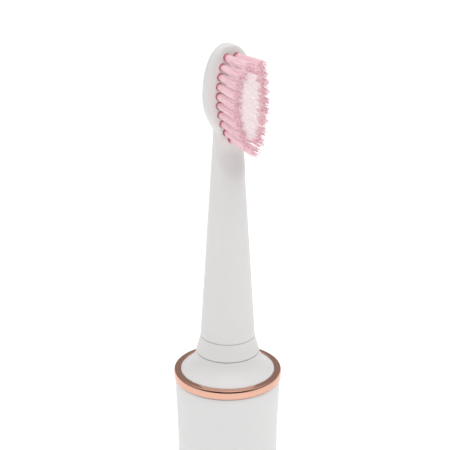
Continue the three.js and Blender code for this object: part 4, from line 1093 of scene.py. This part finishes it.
# %% Button and mode lights
def facing_rows(x, z, radii, fronts, columns=72):
    """Rings round an axis along Y at (x, z), one for each radius. fronts gives the y of each point."""
    turn = full_turn(columns)
    radii = np.asarray(radii, float)[:, None]
    px, pz = x + radii * np.cos(turn), z + radii * np.sin(turn)
    return np.stack([px, np.broadcast_to(fronts(px, radii), px.shape), pz], -1)


def power_button():
    """Front: y = -sqrt(R^2 - x^2), sunk by a dish 0.3 (1 - (r/dish)^2)^2, a groove and the rounded
    edge."""
    front_y, stem_end = span("power_button", 1)
    edge, dish, groove = 0.35, 3.9, 4.35

    def front(x, r):
        """The face of the button at a distance r from its middle."""
        hollow = 0.3 * np.clip(1 - (r / dish) ** 2, 0, 1) ** 2
        line = 0.12 * np.exp(-(((r - groove) / 0.12) ** 2))
        over = np.clip(r - (BUTTON_R - edge), 0, edge)
        return -np.sqrt(front_y**2 - x**2) + hollow + line + edge - np.sqrt(edge**2 - over**2)

    inside = np.linspace(0, groove - 0.4, 14)
    ring = np.linspace(groove - 0.36, groove + 0.36, 13)
    rim = BUTTON_R - edge + edge * np.sin(np.linspace(0, np.pi / 2, 7))
    radii = np.concatenate([inside, ring, rim])
    back, stem_r = -11.05, 1.2
    rows = facing_rows(0, BUTTON_Z, radii, front)
    tail = facing_rows(0, BUTTON_Z, [BUTTON_R, stem_r, stem_r, 0], lambda x, r: np.zeros_like(x))
    tail[:, :, 1] = np.array([back, back, stem_end, stem_end])[:, None]
    return [skin(np.concatenate([rows, tail]))]


def mode_lens(number):
    """A pin with a slightly domed end."""
    front, back = span(f"mode_lens_{number}", 1)
    dome, z = 0.12, LENS_HEIGHTS[number - 1]
    radii = LENS_R * np.sin(np.linspace(0, np.pi / 2, 6))
    rows = facing_rows(0, z, radii, lambda x, r: front + dome * (r / LENS_R) ** 2, columns=20)
    tail = facing_rows(0, z, [LENS_R, 0], lambda x, r: np.full(x.shape, back), columns=20)
    return [skin(np.concatenate([rows, tail]))]


add_piece("button", power_button(), "button", ["power_button"])
for number in range(1, 5):
    add_piece(f"mode_light_{number}", mode_lens(number), "handle", [f"mode_lens_{number}"])


# %% [markdown]
# The bottom cap closes the tube. Its underside is flat, with the slotted recess that drops over the
# charging post and keeps the handle from turning on it. Inside the handle the recess is a blind
# tube, with the receiving coil wound round it.

# %% Bottom cap
POST_HALF_LENGTH, POST_HALF_WIDTH, POST_CLEARANCE, RECESS_WALL = 5.0, 3.5, 0.4, 1.1


def post_slot(grown=0.0):
    """The outline of the post, or one that is grown all round."""
    return slot_loop(POST_HALF_LENGTH + grown, POST_HALF_WIDTH + grown)


def bottom_cap():
    """Lathe for the outside, pierced discs for the two flat faces, and slots skinned between them."""
    low, high = span("bottom_cap")
    flange, plug_top, seal_z = low + 2.4, low + 6.9, low + 4.65
    groove_r, half_groove = 9.75, 0.65
    disc_r, lid_r = 9.0, 10.0
    outside = spun([
        (disc_r, low), (HANDLE_FOOT_R, low, 1.2), (HANDLE_FOOT_R, flange, 0.15), (SPIGOT_R, flange),
        (SPIGOT_R, seal_z - half_groove), (groove_r, seal_z - half_groove, 0.1),
        (groove_r, seal_z + half_groove, 0.1), (SPIGOT_R, seal_z + half_groove), (SPIGOT_R, plug_top, 0.3),
        (lid_r, plug_top),
    ], closed=False)

    def slots(grown, levels):
        """Loops of the slot that the post takes, wider by grown. A level is (inset, height)."""
        loops = [post_slot(grown - inset) for inset, _ in levels]
        return [at_height(loop, height) for loop, (_, height) in zip(loops, levels)]

    top, chamfer = high - RECESS_WALL, 0.3
    recess = slots(POST_CLEARANCE, [
        (-chamfer, low), (0, low + chamfer), (0, top - 0.4), (0.12, top - 0.12), (0.4, top),
    ])
    tube = slots(POST_CLEARANCE + RECESS_WALL, [
        (0, plug_top), (0, high - 0.4), (0.12, high - 0.12), (0.4, high),
    ])
    rings = (7.4, 8.2)
    faces = [
        pierced_disc(disc_r, rings, [recess[0][:, :2]], low),
        pierced_disc(lid_r, rings, [tube[0][:, :2]], plug_top),
    ]
    return [outside, *faces, loops_to_skin(*recess), fill(recess[-1]), loops_to_skin(*tube), fill(tube[-1])]


add_piece("foot_cap", bottom_cap(), "handle", ["bottom_cap"])


# %% [markdown]
# ## The charger
# The charger is a low round stand. Its cover has a leaning side, a rounded shoulder and a shallow
# seat with a raised rim, and the hollow post in the middle holds the core that couples to the
# handle's coil. The window for the power inlet is cut in its back.

# %% Sizes of the charger
CHARGER_R, CHARGER_DRAFT, CHARGER_WALL = 29.0, 0.8, 1.8
COVER_LOW, SIDE_TOP, CROWN = 0.9, 9.0, 13.6
WALL_TOP = 10.4  # the side wall is pierced up to here, above the window
SEAT_R = 13.6
POST_WALL = 1.2
SCREW_CIRCLE_R, BOSS_R, PILOT_R = 16.5, 2.5, 0.9
BOSS_LOW = span("charger_board")[0]
INLET_HALF_WIDTH, INLET_HALF_HEIGHT = 4.45, 1.6
INLET_Z = sum(span("inlet_socket")) / 2
WALL_ROWS, WINDOW_HALF_WIDTH = 16, 9  # rows of the side wall, and columns to each side of its window


def screw_places():
    """Middles of the three screws, evenly round a circle."""
    turn = full_turn(3) - np.pi / 2
    return SCREW_CIRCLE_R * np.stack([np.cos(turn), np.sin(turn)], -1)


def inlet_loop(grown):
    """The outline of the inlet, grown all round."""
    return slot_loop(INLET_HALF_WIDTH + grown, INLET_HALF_HEIGHT + grown)


def side_wall(radius, top, low, window_gap):
    """A skin of the side wall, which leans up to the height top and has a window for the inlet."""
    def radius_at(z):
        """The radius falls evenly from the foot to top."""
        return radius - CHARGER_DRAFT * np.clip((z - COVER_LOW) / (top - COVER_LOW), 0, 1)

    window = inlet_loop(window_gap) + [0, INLET_Z]
    heights = np.linspace(low, WALL_TOP, WALL_ROWS)
    rows = slice(1, WALL_ROWS - 1)
    side, lift = pierced_tube(radius_at, heights, rows, WINDOW_HALF_WIDTH, [window], 1)
    return side, lift(window), radius_at(low)


print(f"inlet at {INLET_Z:.2f}, bosses down to {BOSS_LOW:.2f}")

# %% Charger cover
def post_loops():
    """The slot of the post, from a small fillet at the seat to its rounded top."""
    arc = np.linspace(0, np.pi / 2, 6)
    fillet, edge = 0.25, 0.7
    inset = np.concatenate([-fillet * (1 - np.sin(arc)), edge * (1 - np.cos(arc))])
    height = np.concatenate([SEAT + fillet * (1 - np.cos(arc)), POST_TOP - edge * (1 - np.sin(arc))])
    return [at_height(post_slot(-d), z) for d, z in zip(inset, height)]


def cover_outside():
    """The outer skin: window in the leaning side, rounded shoulder, raised rim, seat and post."""
    low, rim, disc_r = COVER_LOW + 0.5, SEAT + 0.7, SEAT_R - 1.2
    side, window, low_r = side_wall(CHARGER_R, SIDE_TOP, low, 0.45)
    top_r = CHARGER_R - CHARGER_DRAFT
    shoulder_line = rounded([
        (top_r, SIDE_TOP), (top_r - 0.05, SIDE_TOP + 3.4, 3.2), (SEAT_R + 8, CROWN, 6.0),
        (SEAT_R + 2.0, rim, 1.0), (SEAT_R + 0.5, rim, 0.35), (SEAT_R, SEAT, 0.3), (disc_r, SEAT),
    ], steps=8, closed=False)
    shoulder_line[0, 1] = WALL_TOP
    foot = spun([
        (CHARGER_R - CHARGER_WALL, COVER_LOW), (CHARGER_R, COVER_LOW, 0.4), (low_r, low),
    ], closed=False)
    post = post_loops()
    seat = pierced_disc(disc_r, (7.2, 9.5, 11.2), [post[0][:, :2]], SEAT)
    return [*side, foot, lathe(shoulder_line), seat, loops_to_skin(*post), fill(post[-1])], window


def cover_inside(window_loop):
    """The inner skin: leaning wall with the same window, ceiling with the hollow of the post and
    the bosses."""
    wall_r = CHARGER_R - CHARGER_WALL
    top_r = wall_r - CHARGER_DRAFT
    side, window, _ = side_wall(wall_r, WALL_TOP, COVER_LOW, 0.3)
    under, rise = SEAT - CHARGER_WALL, 1.6
    crown_r, edge_r = SEAT_R + 7, wall_r - 2.4

    def ceiling(spots):
        """The underside of the cover: flat under the seat, then sloping down to the wall."""
        slope = [under, under - rise, WALL_TOP + 0.8, WALL_TOP]
        z = np.interp(np.hypot(*spots.T), [SEAT_R, crown_r, edge_r, top_r], slope)
        return np.column_stack([spots, z])

    hollow = post_slot(-POST_WALL)
    bosses = [circle(x, y, BOSS_R, 32) for x, y in screw_places()]
    rings = (5.5, 8, 10.5, SEAT_R, 17, crown_r, 22.5, edge_r)
    grid = np.concatenate([circle(0, 0, r, 64) for r in rings])
    roof = pierced(circle(0, 0, top_r, ROUND), grid, [hollow, *bosses], ceiling, clear=0.4)
    inside_post = [at_height(hollow, z) for z in (under, POST_TOP - POST_WALL)]
    parts = [roof, loops_to_skin(*inside_post), fill(inside_post[1])]
    for (x, y), boss in zip(screw_places(), bosses):
        pilot = [at_height(circle(x, y, PILOT_R, 32), z) for z in (BOSS_LOW, under - 2)]
        parts += [loops_to_skin(ceiling(boss), at_height(boss, BOSS_LOW), *pilot), fill(pilot[1])]
    return [*side, *parts, loops_to_skin(window_loop, window)]


outer_skin, window_edge = cover_outside()
add_piece("stand_cover", outer_skin + cover_inside(window_edge), "charger", ["charger_cover"])


# %% [markdown]
# Underneath, a base plate closes the stand. Three screws are sunk in it, and a soft ring lies in a
# groove so that the stand doesn't slide.

# %% Charger base and foot
FOOT_INNER_R, FOOT_OUTER_R, FOOT_GAP = 20.0, 25.6, 0.15
SCREW_HEAD_R, SCREW_R, SCREW_GAP = 1.6, 0.75, 0.3


def base_plate():
    """Lathe for the rim and the groove, pierced discs for both faces, and stepped screw holes."""
    low, high = COVER_LOW, COVER_LOW + 2.0
    groove, edge_r = 1.6, CHARGER_R - CHARGER_WALL - 0.3
    disc_r, ring_r, inset = FOOT_INNER_R - FOOT_GAP, FOOT_OUTER_R + FOOT_GAP, 0.6
    profile = spun([
        (disc_r - inset, low), (disc_r, low, 0.2), (disc_r, groove), (ring_r, groove), (ring_r, low, 0.2),
        (edge_r, low, 0.2), (edge_r, high, 0.2), (edge_r - inset, high),
    ], closed=False)
    sink = low + 1.05
    wide = [circle(x, y, SCREW_HEAD_R + SCREW_GAP, 32) for x, y in screw_places()]
    thin = [circle(x, y, SCREW_R + SCREW_GAP, 32) for x, y in screw_places()]
    rings = (4, 8, 12)
    faces = [
        pierced_disc(disc_r - inset, rings, wide, low), pierced_disc(edge_r - inset, rings, thin, high),
    ]
    walls = [
        loops_to_skin(at_height(a, low), at_height(a, sink), at_height(b, sink), at_height(b, high))
        for a, b in zip(wide, thin)
    ]
    return [profile, *faces, *walls]


def foot_ring():
    """A soft ring with rounded edges and three fine grooves in its underside."""
    low, high = span("charger_foot")
    corners = [(FOOT_INNER_R, high, 0.1), (FOOT_INNER_R, low, 0.3)]
    for share in (0.25, 0.5, 0.75):
        r = mix(FOOT_INNER_R, FOOT_OUTER_R, share)
        corners += [(r - 0.22, low, 0.08), (r, low + 0.2, 0.05), (r + 0.22, low, 0.08)]
    corners += [(FOOT_OUTER_R, low, 0.3), (FOOT_OUTER_R, high, 0.1)]
    return [spun(corners, steps=3)]


def sunk_screw(x, y):
    """A pan head with a cross recess: its face is pierced by a cross that narrows with depth."""
    low, high = span("charger_screw_1")
    head_top = low + 0.75
    arm, waist = 0.85, 0.17
    quarter = np.array([(arm, -waist), (arm, waist), (waist, waist)])
    cross = np.concatenate([
        quarter @ np.array([[np.cos(a), np.sin(a)], [-np.sin(a), np.cos(a)]]) for a in full_turn(4)
    ])
    face_r = SCREW_HEAD_R - 0.3
    face = pierced_disc(face_r, (1.05,), [cross], low, count=32, ring_count=16)
    recess = [at_height(cross, low), at_height(cross * 0.75, low + 0.5)]
    body = spun([
        (face_r, low), (SCREW_HEAD_R, low, 0.25), (SCREW_HEAD_R, head_top), (SCREW_R, head_top, 0.1),
        (SCREW_R, high - 0.6), (0, high),
    ], closed=False, segments=32)
    parts = [face, loops_to_skin(*recess), fill(recess[1]), body]
    return [(points + [x, y, 0], faces) for points, faces in parts]


add_piece("stand_base", base_plate(), "charger", ["charger_base"])
add_piece("stand_foot", foot_ring(), "charger", ["charger_foot"])
for number, (x, y) in enumerate(screw_places(), 1):
    add_piece(f"stand_screw_{number}", sunk_screw(x, y), "charger", [f"charger_screw_{number}"])


# %% [markdown]
# The power inlet is a flat metal mouth with a tongue inside, the common reversible kind. It is set
# a little behind the cover, so that a plug's collar has room.

# %% Power inlet
def along_y(loop, y, z):
    """A flat loop stood up to face along Y."""
    return np.column_stack([loop[:, 0], np.full(len(loop), y), loop[:, 1] + z])


def inlet():
    """A slotted tube, closed behind, with rounded lips, and a thin tongue on its back wall."""
    back, mouth = span("inlet_socket", 1)
    wall, lip = 0.3, 0.1
    half_length, half_width = 3.3, 0.35  # of the tongue
    floor = back + 1.5
    steps = [
        (0, back), (0, mouth - lip), (lip, mouth), (wall - lip, mouth), (wall, mouth - lip), (wall, floor),
    ]
    loops = [along_y(inlet_loop(-d), y, INLET_Z) for d, y in steps]
    steps = [(0, floor), (0, mouth - 0.95), (0.12, mouth - 0.8)]
    tongue = [along_y(slot_loop(half_length - d, half_width - d), y, INLET_Z) for d, y in steps]
    floor_face = pierced(
        inlet_loop(-wall), slot_loop(3.7, 0.8), [slot_loop(half_length, half_width)],
        lambda spots: along_y(spots, floor, INLET_Z), clear=0.05,
    )
    return [loops_to_skin(*loops), fill(loops[0]), floor_face, loops_to_skin(*tongue), fill(tongue[-1])]


add_piece("power_inlet", inlet(), "charger", ["inlet_socket"])
